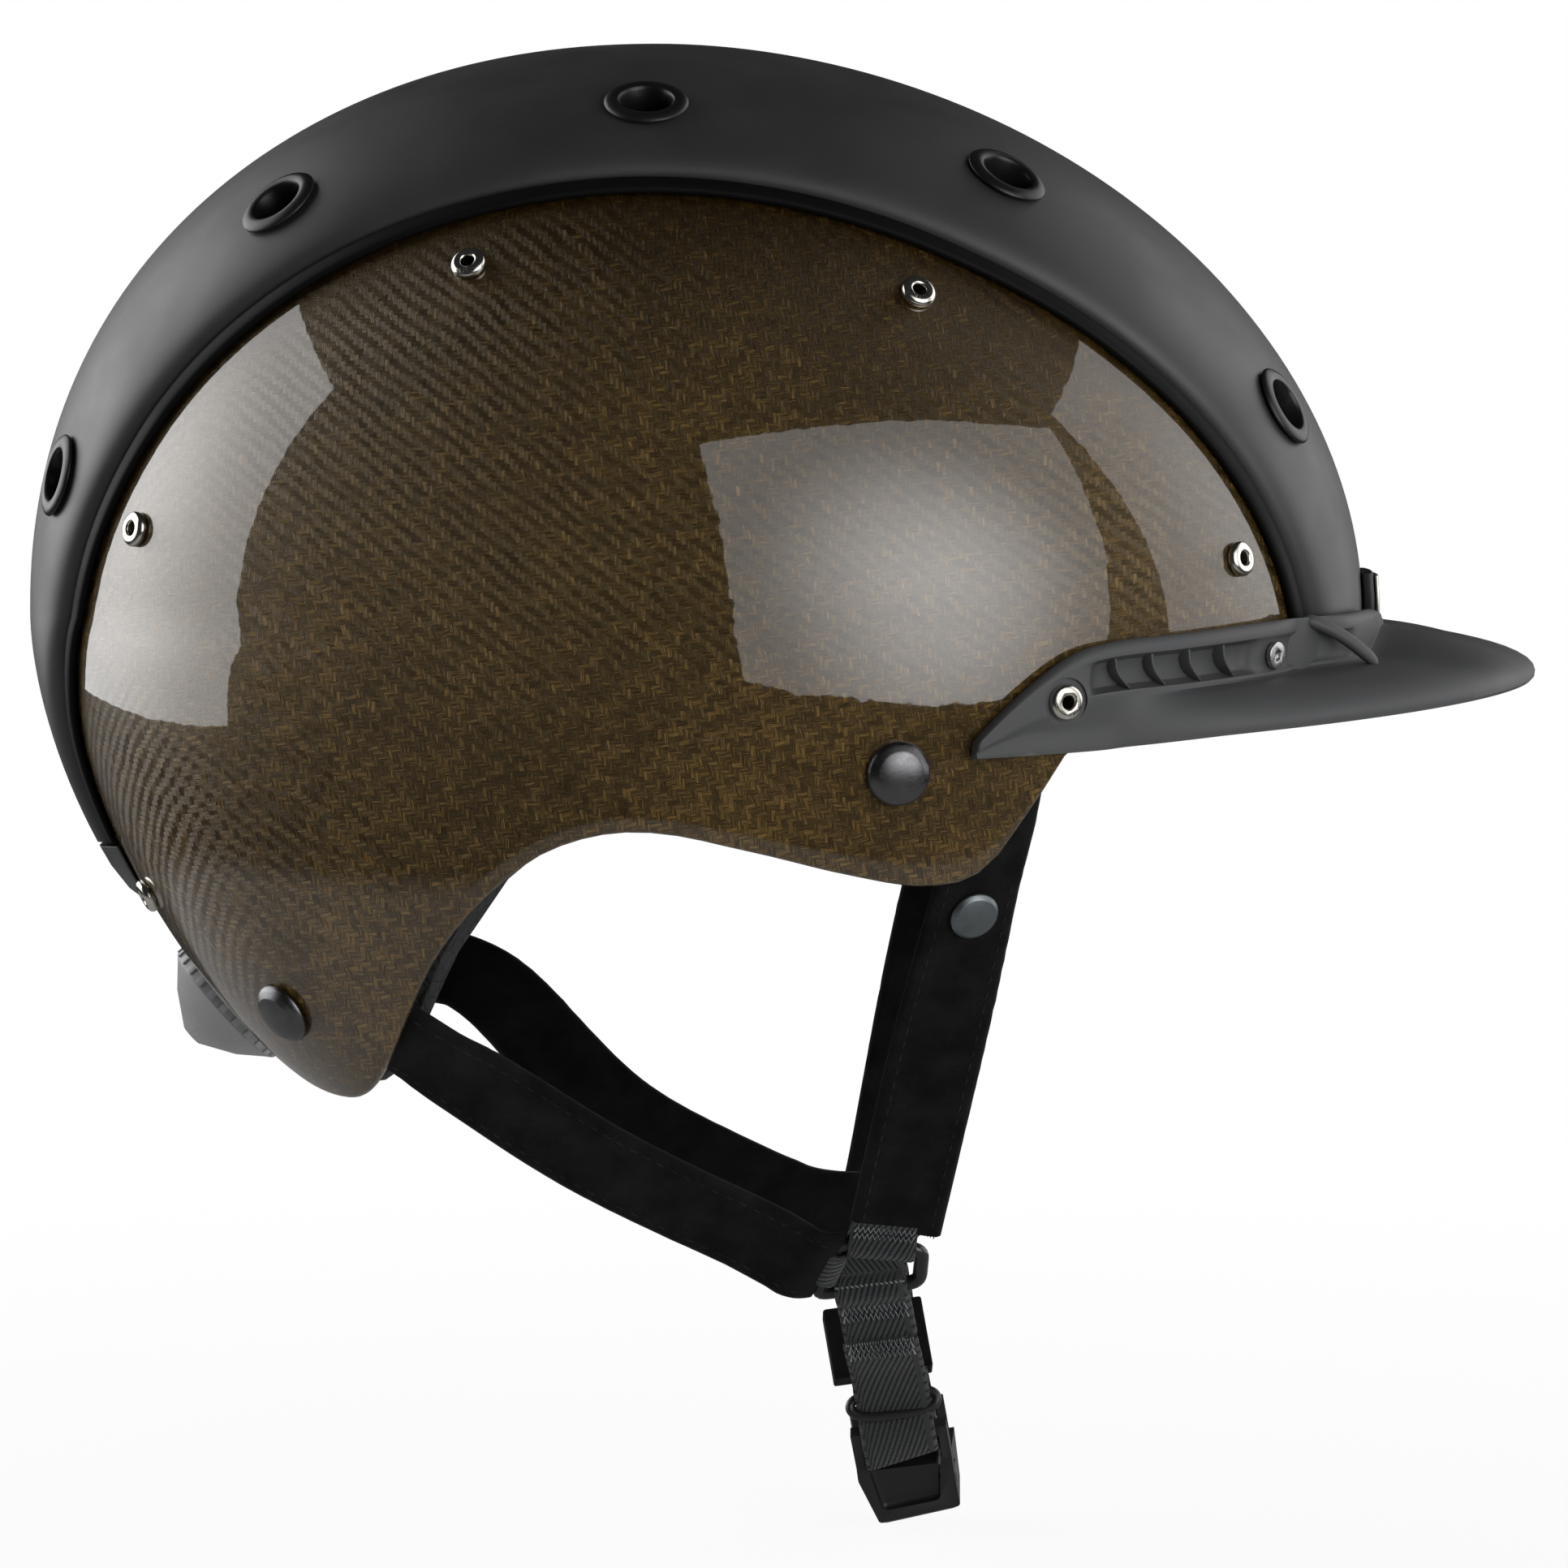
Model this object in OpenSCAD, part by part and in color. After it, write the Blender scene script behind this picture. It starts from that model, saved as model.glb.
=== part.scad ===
// Riding helmet: shell with a raised centre band, peak, foam liner, turn-knob
// fit system and a four-point chin harness with a snap buckle.
// Frame: +X is the front, +Y the wearer's left, +Z up. The origin is on the
// mid-plane, level with the tops of the ear arches.

/* [Shell] */
// Half width of the shell at its widest level
shell_half_w = 108; // [103:1:112]
// Reach of the shell ahead of the crown axis
shell_front = 139; // [134:1:143]
// Reach of the shell behind the crown axis
shell_back = 123.4; // [120:0.2:128]
// Height of the crown above the widest level
crown_rise = 110.4; // [106:0.2:115]
// Height of the widest level above the origin
widest_z = 45; // [43:1:47]
// Wall of the shell
shell_t = 3; // [2.4:0.2:3.4]

/* [Centre band] */
// Height of the band over the shell
band_rise = 5; // [4:0.5:6]
// Wall of the band
band_t = 2.6; // [2:0.2:3]
// Width of the black trim beside the band
trim_w = 4; // [3:0.5:5]

/* [Vent eyelets] */
// Diameter of an eyelet's flange
eyelet_d = 16.8; // [15:0.2:18]
// Diameter of the air hole
eyelet_bore = 10.2; // [8:0.2:11]

/* [Fasteners] */
// Diameter of a rivet head
rivet_d = 7; // [6:0.2:8]
// Diameter of the hole in a rivet
rivet_bore = 2.7; // [2:0.1:3]
// Diameter of a strap snap cap
snap_d = 12.7; // [11.5:0.1:14]
// Diameter of a snap post
snap_post_d = 4; // [3:0.2:5]

/* [Peak] */
// Reach of the peak's tip ahead of the origin
peak_tip_x = 171.8; // [168:0.2:176]
// Height of the peak's tip above the origin
peak_tip_z = 33; // [31:0.5:35]
// Thickness of the brim's rounded edge
brim_t = 4.4; // [3.6:0.2:5]
// Thickness of the arms over the shell
arm_wall = 4; // [3.4:0.2:5]

/* [Liner] */
// Thickness of the foam at the crown
liner_t = 22; // [20:1:23]
// Thickness of the comfort pads
pad_t = 5; // [4:0.5:6]

/* [Fit system] */
// Distance of each fit arm's pin from the inside of the foam beside it
fit_inset = 8.5; // [8:0.5:10]
// Tilt of the fit system, lower at the back
fit_tilt = 42; // [40:1:44]
// Diameter of the fit knob
knob_d = 29.4; // [27:0.2:32]
// Height of a fit arm's strip
arm_h = 9; // [8:0.5:10]
// Thickness of a fit arm's strip
arm_t = 2; // [1.6:0.2:2.4]
// Tooth pitch of the racks along the arms, over pi
tooth_module = 0.8; // [0.7:0.05:0.9]

/* [Harness] */
// Width of the suede straps
strap_w = 18.5; // [17:0.5:20]
// Thickness of the suede straps
strap_t = 2.4; // [2:0.2:2.8]
// Distance of each junction ring from the mid-plane
ring_y = 38; // [36:1:40]
// Diameter of the rod of a junction ring
ring_rod_d = 3; // [2.4:0.2:3.4]
// Width of the chin webbing
webbing_w = 15; // [14:0.5:15]
// Thickness of the chin webbing
webbing_t = 1.6; // [1.4:0.1:1.8]
// Length of the chin webbing from the ring's bar to the buckle's bar
webbing_len = 37.7; // [36:0.1:39]
// Width of the buckle
buckle_w = 19.8; // [19:0.2:21]

/* [Hidden] */

// Clearances: between nested pieces, beside what moves, round a pin
fit_gap = 0.5;
move_gap = 0.4;
pin_gap = 0.05;

// Outline of the shell: roundness of its profile above the widest level, and
// how fast its skirt draws in below it at the back, the front and the sides
front_round = 1.92;
back_round = 2.13;
back_fall = 1.29;
front_fall = 0.9;
side_fall = 0.45;
nape_square = 1;
skirt_depth = 135;
skirt_pow = 0.85;
crown_x = -8;

function unit(v) = v / norm(v);
function sgn_pow(v, p) = sign(v) * pow(abs(v), p);
function mix(a, b, t) = a + (b - a) * t;
function ease(t) = let (c = max(0, min(1, t))) c * c * (3 - 2 * c);
function flat(rows) = [for (r = rows) for (p = r) p];
function turn_x(a, v) = [v.x, v.y * cos(a) - v.z * sin(a), v.y * sin(a) + v.z * cos(a)];
function turn_y(a, v) = [v.x * cos(a) + v.z * sin(a), v.y, v.z * cos(a) - v.x * sin(a)];

// Smooth curve through [key, value] pairs, read at x; a value is a number or a point
function curve(x, k) = let (
    n = len(k) - 1,
    i = max(0, min(n - 1, len([for (q = k) if (q[0] <= x) 1]) - 1)),
    h = k[i + 1][0] - k[i][0],
    t = max(0, min(1, (x - k[i][0]) / h)),
    m0 = (i == 0 ? k[1][1] - k[0][1] : h * (k[i + 1][1] - k[i - 1][1]) / (k[i + 1][0] - k[i - 1][0])),
    m1 = (i == n - 1 ? k[n][1] - k[n - 1][1] : h * (k[i + 2][1] - k[i][1]) / (k[i + 2][0] - k[i][0])))
    (2 * t * t * t - 3 * t * t + 1) * k[i][1] + (t * t * t - 2 * t * t + t) * m0
    + (3 * t * t - 2 * t * t * t) * k[i + 1][1] + (t * t * t - t * t) * m1;

// Point of the helmet's surface at azimuth az and latitude b, d inside the shell's outside
function skin(az, b, d) = let (
    w = (1 + cos(az)) / 2,
    a = (cos(az) >= 0 ? shell_front : shell_back) - d,
    n = mix(back_round, front_round, w),
    m = b >= 0 ? 2 : 2 + nape_square * (1 - w) * sin(-b),
    rx = pow(cos(b), b >= 0 ? 2 / n : mix(back_fall, front_fall, w)),
    ry = pow(cos(b), b >= 0 ? 2 / n : side_fall),
    z = b >= 0 ? widest_z + (crown_rise - d) * pow(sin(b), 2 / n)
        : widest_z - skirt_depth * pow(sin(-b), 1 / skirt_pow))
    [crown_x + a * rx * sgn_pow(cos(az), 2 / m), (shell_half_w - d) * ry * sgn_pow(sin(az), 2 / m), z];

// Outward normal of the surface
function skin_n(az, b) = unit(cross(skin(az + 1, b, 0) - skin(az - 1, b, 0),
    skin(az, b + 1, 0) - skin(az, b - 1, 0)));

// Latitude of a height on the surface, near the widest level
function lat(z) = z < widest_z ? -asin(pow((widest_z - z) / skirt_depth, skirt_pow))
    : asin((z - widest_z) / crown_rise);

// Point at arc angle phi over the mid-plane (0 front, 90 crown, 180 back) and th to the left
function arc_az(phi, th) = atan2(sin(th), cos(phi) * cos(th));
function arc_lat(phi, th) = asin(sin(phi) * cos(th));
function arc_skin(phi, th, d) = skin(arc_az(phi, th), arc_lat(phi, th), d);

module facing(p, n) {
    translate(p) rotate([0, acos(n.z), atan2(n.y, n.x)]) children();
}

// Point a height up over the outside, square to it
function over_skin(az, b, up) = skin(az, b, 0) + up * skin_n(az, b);

// Puts children at inset d on the surface with +Z outwards, all on one line through a place
module on_skin(az, b, d) {
    n = skin_n(az, b);
    facing(over_skin(az, b, (skin(az, b, d) - skin(az, b, 0)) * n), n) children();
}

module both_sides() {
    children();
    mirror([0, 1, 0]) children();
}

// Closed polyhedron from two point grids: cols run counter-clockwise seen from
// above and rows run downwards, outer first
module slab(outer, inner) {
    nc = len(outer);
    nr = len(outer[0]);
    k = nc * nr;
    function o(i, j) = i * nr + j;
    skins = [for (i = [0:nc - 2]) for (j = [0:nr - 2]) let (a = o(i, j), b = o(i + 1, j),
        c = o(i + 1, j + 1), d = o(i, j + 1))
        each [[a, b, c], [a, c, d], [k + a, k + c, k + b], [k + a, k + d, k + c]]];
    edge = concat([for (i = [0:nc - 2]) [o(i, 0), o(i + 1, 0)]],
        [for (j = [0:nr - 2]) [o(nc - 1, j), o(nc - 1, j + 1)]],
        [for (i = [nc - 2:-1:0]) [o(i + 1, nr - 1), o(i, nr - 1)]],
        [for (j = [nr - 2:-1:0]) [o(0, j + 1), o(0, j)]]);
    sides = [for (e = edge) each [[e[1], e[0], k + e[0]], [e[1], k + e[0], k + e[1]]]];
    polyhedron(concat(flat(outer), flat(inner)), concat(skins, sides), convexity = 8);
}

// Closed dome between two insets, open at the bottom, down to a rim
module dome(az_list, rows, outer, inner) {
    nc = len(az_list);
    k = 1 + nc * rows;
    function at(i, j) = 1 + (i % nc) * rows + j;
    skins = concat([outer(0, 0), for (a = az_list) for (j = [1:rows]) outer(a, j / rows)],
        [inner(0, 0), for (a = az_list) for (j = [1:rows]) inner(a, j / rows)]);
    caps = [for (i = [0:nc - 1]) each [[0, at(i + 1, 0), at(i, 0)], [k, k + at(i, 0), k + at(i + 1, 0)]]];
    walls = [for (i = [0:nc - 1]) for (j = [0:rows - 2]) let (a = at(i, j), b = at(i + 1, j),
        c = at(i + 1, j + 1), d = at(i, j + 1))
        each [[a, b, c], [a, c, d], [k + a, k + c, k + b], [k + a, k + d, k + c]]];
    rim = [for (i = [0:nc - 1]) let (a = at(i + 1, rows - 1), b = at(i, rows - 1))
        each [[b, a, k + a], [b, k + a, k + b]]];
    polyhedron(skins, concat(caps, walls, rim), convexity = 8);
}

// Closed solid from sections of equal point counts, each clockwise seen along the way
module loft(secs) {
    n = len(secs);
    k = len(secs[0]);
    walls = [for (i = [0:n - 2]) for (j = [0:k - 1]) let (a = i * k + j, b = a + k,
        c = (i + 1) * k + (j + 1) % k, d = c - k) each [[a, b, c], [a, c, d]]];
    caps = [for (j = [1:k - 2]) each [[0, j, j + 1], [(n - 1) * k, (n - 1) * k + j + 1, (n - 1) * k + j]]];
    polyhedron(flat(secs), concat(walls, caps), convexity = 8);
}

// Straight round rod between two points
module rod(p, q, d) {
    facing(p, unit(q - p)) cylinder(d = d, h = norm(q - p), $fn = 32);
}

// Outline of the shell

// Latitude of the shell's rim by azimuth: brow, temple corner, ear arch, rear tip, nape
rim_keys = [[0, -11], [30, -11], [46, -11.2], [53, -12.6], [56.5, -18], [60.5, -23.8], [66, -25.2],
    [74, -24], [83, -21.7], [91, -20], [98, -21.6], [104, -25.7], [110, -31.2], [117, -38.4],
    [124, -43.6], [132, -46.6], [141, -47], [150, -45.4], [158, -41.5], [166, -36], [173, -32.5], [180, -31]];
function rim_lat(az) = curve(abs(az), rim_keys);

// Azimuths of the shell's columns, closer together where the rim is steep
half_az = concat([for (a = [0:6:48]) a], [for (a = [51:3:63]) a], [for (a = [69:6:99]) a],
    [for (a = [103:3.5:124]) a], [for (a = [130:6:178]) a]);
shell_az = concat(half_az, [180], [for (i = [len(half_az) - 1:-1:1]) -half_az[i]]);
shell_rows = 16;

// Places on the surface, azimuth and latitude, of what is the same on both sides
eyelet_at = [[19, 22], [40, 50], [91.5, 62], [143, 44.5], [162.5, 13]];
rivet_at = [[33.3, 7], [62.5, 36.3], [111.5, 39], [146.5, 8.7], [163, -28]];
peak_rivet_at = [55.6, -8.1];
peak_screw_at = [30.3, -4.2];
front_snap_at = [70.2, -14.7];
rear_snap_at = [137.5, -37.8];

eyelet_wall = 0.9;
eyelet_hole_d = eyelet_bore + 2 * (eyelet_wall + fit_gap / 2);
rivet_shank_d = rivet_d / 2;
rivet_hole_d = rivet_shank_d + 2 * pin_gap;
snap_hole_d = snap_post_d + 2 * pin_gap;

module drill(places, d, depth) {
    for (p = places) on_skin(p[0], p[1], 0) translate([0, 0, -depth])
        cylinder(d = d, h = depth + 12, $fn = 48);
}

module outer_shell() {
    color("saddlebrown") difference() {
        dome(shell_az, shell_rows, function(a, t) skin(a, mix(90, rim_lat(a), t), 0),
            function(a, t) skin(a, mix(90, rim_lat(a), t), shell_t));
        both_sides() {
            drill(eyelet_at, eyelet_hole_d, 12);
            drill(rivet_at, rivet_hole_d, 8);
            drill([peak_rivet_at, peak_screw_at], rivet_hole_d, 8);
            drill([front_snap_at, rear_snap_at], snap_hole_d, 8);
        }
    }
}

// Centre band

// Angle at the brown edge beside the band, by arc angle
edge_keys = [[-9, 22.5], [1.5, 25.4], [20, 31], [37.5, 35.8], [58, 39.5], [92, 40.6], [112, 40],
    [137, 36.7], [160, 31], [175, 25.2], [187, 19.5], [196, 13.5], [205, 9]];
function edge_th(phi) = curve(phi, edge_keys);
trim_th = trim_w * 0.53;
band_phi = [for (i = [0:42]) mix(-9, 204, i / 42)];

// Columns across the band: share of its half width, and share of its height
band_profile = [[-1, 0.2], [-0.975, 0.62], [-0.94, 0.9], [-0.88, 1], [-0.66, 1], [-0.44, 1], [-0.22, 1],
    [0, 1], [0.22, 1], [0.44, 1], [0.66, 1], [0.88, 1], [0.94, 0.9], [0.975, 0.62], [1, 0.2]];

module crown_band() {
    function at(phi, q, up) = arc_skin(phi, q[0] * (edge_th(phi) - trim_th - 0.3), -up);
    color("dimgray") difference() {
        slab([for (phi = band_phi) [for (q = band_profile) at(phi, q, max(fit_gap + 0.3, band_rise * q[1]))]],
            [for (phi = band_phi) [for (q = band_profile)
                at(phi, q, abs(q[0]) > 0.9 ? fit_gap : band_rise - band_t)]]);
        both_sides() drill(eyelet_at, eyelet_hole_d, 12);
    }
}

module band_edge_trims() {
    color([0.05, 0.05, 0.05]) both_sides() loft([for (phi = band_phi) let (a = edge_th(phi), b = a - trim_th)
        [arc_skin(phi, a, -fit_gap), arc_skin(phi, b + 0.25, -fit_gap), arc_skin(phi, b + 0.25, -2.2),
         arc_skin(phi, a - 0.4, -1.4)]]);
}

// Rounded clip over the band's rear end: arc angles, half widths and end heights
tail_phi = [204.4, 206.4, 208.4, 209.8];
tail_half = [9.6, 9, 7.2, 4.6];
tail_lift = [5.5, 5.4, 4.4, 2.2];

module band_tail_clip() {
    us = [for (j = [-3:3]) j / 3];
    color([0.2, 0.2, 0.21]) slab(
        [for (i = [0:3]) [for (u = us) arc_skin(tail_phi[i], u * tail_half[i],
            -mix(tail_lift[i], fit_gap + 0.6, pow(abs(u), 4)))]],
        [for (i = [0:3]) [for (u = us) arc_skin(tail_phi[i], u * tail_half[i], -fit_gap)]]);
}

// Eyelet with its flange on the band and its barrel through band and shell
module eyelet() {
    r = eyelet_bore / 2;
    f = eyelet_d / 2;
    b = r + eyelet_wall;
    foot = band_rise + shell_t + 0.2;
    rotate_extrude($fn = 64) polygon([[r, -foot], [b, -foot], [b, 0.35], [f, 0.35], [f, 0.7], [f - 0.5, 1.2],
        [r + 1.5, 1.6], [r + 0.5, 1.4], [r, 0.7]]);
}

module vent_eyelets() {
    color([0.08, 0.08, 0.09]) both_sides() for (p = eyelet_at) on_skin(p[0], p[1], -band_rise) eyelet();
}

// Hollow rivet on a surface: rounded head, shank down to depth
module rivet(depth) {
    b = rivet_bore / 2;
    h = rivet_d / 2;
    s = rivet_shank_d / 2;
    rotate_extrude($fn = 48) polygon([[b, -depth], [s, -depth], [s, 0.25], [h, 0.25], [h, 1.1],
        [h - 0.3, 1.6], [h - 0.9, 1.9], [b + 0.35, 1.9], [b, 1.6]]);
}

module shell_rivets() {
    color("silver") both_sides() for (p = rivet_at) on_skin(p[0], p[1], 0) rivet(shell_t);
}

// Peak

// Heights of the arm's upper and lower edges by azimuth; the collar is low under the badge
peak_top_keys = [[0, 43.6], [6.2, 43.6], [8.5, 45.6], [12, 46.3], [20, 46.1], [29, 45.5], [44, 43.7],
    [51, 42.6], [55, 40.3], [59.5, 33.5], [62.5, 27.2], [63.8, 24]];
peak_low_keys = [[0, 26], [20, 24.5], [35, 22.8], [50, 21.4], [63.8, 20.4]];
peak_tail_az = 63.8;
brim_end_az = 50;
brim_x0 = 60;

// Vent recess in the arm: its ends, ribs, screw boss and depth
recess_az = [20, 53];
rib_az = [37.6, 42, 46.3, 50.2];
boss_az = [26.8, 33.8];
recess_depth = 2.4;
rivet_seat = arm_wall - 0.8;

function arm_out(az) = arm_wall + 5.4 * ease((27 - abs(az)) / 6);
function arm_in(az) = fit_gap + (band_rise + 0.3) * ease((30 - abs(az)) / 5);
function on_arm(az, z, o) = skin(az, lat(z), -o);
function in_recess(a) = a > recess_az[0] && a < recess_az[1];
function at_rib(a) = len([for (r = rib_az) if (abs(a - r) < 0.45) 1]) > 0;
function recess_dip(a) = !in_recess(a) ? 0 : at_rib(a) ? 0.5 : a > boss_az[0] && a < boss_az[1] ? 0.8
    : a <= boss_az[0] ? 1.2 : recess_depth;

// Edge of the brim: an ellipse that meets the arms where the brim ends
brim_meet = on_arm(brim_end_az, curve(brim_end_az, peak_low_keys), arm_wall);
brim_a = peak_tip_x - brim_x0;
brim_turn = acos((brim_meet.x - brim_x0) / brim_a);
brim_b = brim_meet.y / sin(brim_turn);
function edge_z(x) = peak_tip_z - brim_t / 2 - 9.6 * pow(max(0, (peak_tip_x - x) / 100), 0.7);
function brim_edge(az) = let (t = az / brim_end_az * brim_turn, x = brim_x0 + brim_a * cos(t))
    [x, brim_b * sin(t), edge_z(x)];

// Section of the peak at an azimuth: collar or arm with its recess, then the brim's top,
// rounded edge and underside; at the front the brim rises to the badge
function peak_section(az) = let (
    a = abs(az),
    top = curve(a, peak_top_keys),
    low = curve(a, peak_low_keys),
    rise = ease((16 - a) / 10),
    hi = mix(low, top, mix(0.86, 0.96, rise)),
    lo = mix(low, top, mix(mix(0.55, 0.6, ease((30 - a) / 10)), 0.92, rise)),
    step = min(0.6, (hi - lo) / 3),
    lip = min(1.2, (top - hi) / 2),
    oi = arm_in(a),
    oo = arm_out(a),
    dip = recess_dip(a),
    root = on_arm(az, mix(low, lo, mix(0.9, 0.98, rise)), oo),
    e = a < brim_end_az ? brim_edge(az) : on_arm(az, low + 0.3, oo - 0.6),
    edge_t = min(brim_t, 0.7 * (root.z - e.z)),
    brim = ease((brim_end_az + 2 - a) / 14),
    up = [0, 0, 1],
    out = brim * unit([e.x - crown_x, e.y, 0]),
    shoulder = e + edge_t * up - 1.2 * out,
    heel = on_arm(az, low, oi))
    [heel, on_arm(az, top - lip, oi), on_arm(az, top, mix(oi, oo, 0.5)), on_arm(az, top - lip, oo),
     on_arm(az, hi, oo), on_arm(az, hi - step, oo - dip), on_arm(az, lo + step, oo - dip), on_arm(az, lo, oo),
     root, mix(root, shoulder, 0.45) + 1.6 * brim * up, mix(root, shoulder, 0.8) + 1.4 * brim * up,
     shoulder, e + edge_t / 2 * up, e - 0.8 * out,
     mix(e, heel, 0.35) + 2.4 * brim * up, mix(e, heel, 0.75) + 1.6 * brim * up];

peak_half = concat([0, 3, 6.2, 8.5, 11, 14, 17, 19.6, 20.4, 23], [26.2, 27.4, 29, 31.5, 33.4, 34.4],
    [for (r = rib_az) each [r - 1.4, r - 0.6, r - 0.35, r + 0.35, r + 0.6]],
    [51.8, 52.6, 53.4, 55, 57, 59, 61, 62.6, peak_tail_az]);
peak_az = concat([for (i = [len(peak_half) - 1:-1:1]) -peak_half[i]], peak_half);

module peak() {
    color([0.3, 0.3, 0.31]) difference() {
        loft([for (a = peak_az) peak_section(a)]);
        both_sides() {
            on_skin(peak_rivet_at[0], peak_rivet_at[1], -rivet_seat) cylinder(d = rivet_d + 2.6, h = 8, $fn = 48);
            drill([peak_rivet_at, peak_screw_at], rivet_hole_d, 2);
        }
    }
}

module peak_rivets() {
    color("silver") both_sides() on_skin(peak_rivet_at[0], peak_rivet_at[1], -rivet_seat)
        rivet(shell_t + rivet_seat);
}

module peak_screws() {
    color("silver") both_sides() on_skin(peak_screw_at[0], peak_screw_at[1], -rivet_seat) difference() {
        union() {
            translate([0, 0, 0.3]) cylinder(d = 5.4, h = 1.1, $fn = 48);
            translate([0, 0, -shell_t - rivet_seat]) cylinder(d = rivet_shank_d, h = shell_t + arm_wall, $fn = 48);
        }
        translate([0, 0, 0.7]) cylinder(d = 2.4, h = 2, $fn = 6);
    }
}

// Badge clip on the front of the band, over the collar of the peak
badge_phi = [-0.9, 4.4];
badge_th = 5.2;

module badge_part(rim, low, high) {
    function at(i, j, up) = arc_skin(mix(badge_phi[0] + rim / 2, badge_phi[1] - rim / 2, i / 2),
        j / 3 * (badge_th - rim / 2), -band_rise - up);
    slab([for (i = [0:2]) [for (j = [-3:3]) at(i, j, high)]], [for (i = [0:2]) [for (j = [-3:3]) at(i, j, low)]]);
}

module badge_holder() {
    color([0.1, 0.1, 0.1]) badge_part(0, 0.3, 2.6);
}

module badge_plate() {
    color("lightgray") badge_part(0.9, 2.9, 3.6);
}

// Insets of the straps' middles under the shell, and of the snap washers behind them
strap_in = shell_t + strap_t / 2 + 1.2;
rear_strap_in = strap_in + 0.2;
washer_t = 1;
washer_in = rear_strap_in + strap_t / 2 + fit_gap + washer_t;

// Liner and comfort pads

// Inset of the foam's outside where it is slotted for the straps
liner_slot = washer_in + 3.1;
liner_az = [for (a = [0:7.5:359]) a > 180 ? a - 360 : a];
liner_rows = 12;

// Inset of the foam's inside: thicker at front and back, thinner down the skirt and at the nape
function liner_in(az, b) = shell_t + fit_gap + mix(liner_t, liner_t - 9.4, ease(-b / 45))
    + 6 * pow(cos(az) * cos(b), 2) * ease((b + 25) / 25) - 9 * ease((abs(az) - 140) / 28) * ease(-b / 28);
function liner_rim(az) = rim_lat(az) + 1.6;

// Inset of its outside: close under the shell, with slots at the rim for the straps
function near_strap(az) = max(ease((24 - abs(abs(az) - 66)) / 8), ease((26 - abs(abs(az) - 132)) / 8));
function liner_out(az, t) = mix(shell_t + fit_gap + 0.2, liner_slot, near_strap(az) * ease((t - 0.74) / 0.12));

// The foam is in five blocks that meet at narrow seams: crown, front, back and two sides
crown_seam_z = widest_z + 0.39 * crown_rise;
front_seam_x = crown_x + 0.4 * shell_front;
back_seam_x = crown_x - 0.4 * shell_back;
seam = 0.3;

module foam_block(low, high) {
    color([0.16, 0.16, 0.17]) difference() {
        intersection() {
            dome(liner_az, liner_rows, function(a, t) skin(a, mix(90, liner_rim(a), t), liner_out(a, t)),
                function(a, t) let (b = mix(90, liner_rim(a), t)) skin(a, b, liner_in(a, b)));
            translate(low) cube(high - low);
        }
        both_sides() drill(eyelet_at, eyelet_bore, 45);
        in_cradle() for (turn = [0, 180]) rotate([turn, 0, 0]) bracket_seat();
    }
}

module foam_crown() {
    foam_block([-200, -200, crown_seam_z + seam / 2], [200, 200, 200]);
}

module foam_front() {
    foam_block([front_seam_x + seam / 2, -200, -200], [200, 200, crown_seam_z - seam / 2]);
}

module foam_back() {
    foam_block([-200, -200, -200], [back_seam_x - seam / 2, 200, crown_seam_z - seam / 2]);
}

module foam_right() {
    foam_block([back_seam_x + seam / 2, -200, -200], [front_seam_x - seam / 2, 0, crown_seam_z - seam / 2]);
}

module foam_left() {
    foam_block([back_seam_x + seam / 2, 0, -200], [front_seam_x - seam / 2, 200, crown_seam_z - seam / 2]);
}

// Crowned pad on the inside of the foam, over a grid of azimuths and latitudes
pad_gap = 0.8;
function pad_crown(u, v) = pad_t * (0.3 + 0.7 * (1 - pow(abs(u), 4)) * (1 - pow(abs(v), 4)));

module skin_pad(az, b, nc, nr) {
    function at(i, j, deep) = let (a = mix(az[0], az[1], i / nc), l = mix(b[0], b[1], j / nr))
        skin(a, l, liner_in(a, l) + pad_gap + (deep ? pad_crown(2 * i / nc - 1, 2 * j / nr - 1) : 0));
    slab([for (i = [0:nc]) [for (j = [0:nr]) at(i, j, false)]], [for (i = [0:nc]) [for (j = [0:nr]) at(i, j, true)]]);
}

// The same over a grid of arc angles
module arc_pad(phi, th, nc, nr) {
    function at(i, j, deep) = let (p = mix(phi[0], phi[1], i / nc), h = mix(th[0], th[1], j / nr),
        a = arc_az(p, h), l = arc_lat(p, h))
        skin(a, l, liner_in(a, l) + pad_gap + (deep ? pad_crown(2 * i / nc - 1, 2 * j / nr - 1) : 0));
    slab([for (i = [0:nc]) [for (j = [0:nr]) at(i, j, false)]], [for (i = [0:nc]) [for (j = [0:nr]) at(i, j, true)]]);
}

module brow_pad() {
    color([0.12, 0.12, 0.13]) skin_pad([-50, 50], [6, -8], 16, 4);
}

module crown_pad() {
    color([0.12, 0.12, 0.13]) arc_pad([74, 106], [-16, 16], 8, 6);
}

module top_pads() {
    color([0.12, 0.12, 0.13]) both_sides() arc_pad([62, 118], [24, 40], 10, 4);
}

module side_pads() {
    color([0.12, 0.12, 0.13]) both_sides() skin_pad([72, 108], [26, 2], 8, 5);
}

// Fit system: its own frame is centred in the cradle and tilted, with +X to the front

// Radius of each arm, from the shell's width, and the place where both pass the pinion
fit_r = shell_half_w - shell_t - fit_gap - liner_t - fit_inset;
nape_at = [crown_x - shell_back + 40.507, 0, -30.816];
cradle_c = nape_at + fit_r * [cos(fit_tilt), 0, sin(fit_tilt)];
pinion_r = 5 * tooth_module;
rack_tip = pinion_r - tooth_module;
rack_root = pinion_r + 1.25 * tooth_module;
rack_top = rack_root + 3;
arm_low = rack_top - arm_h;
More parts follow.
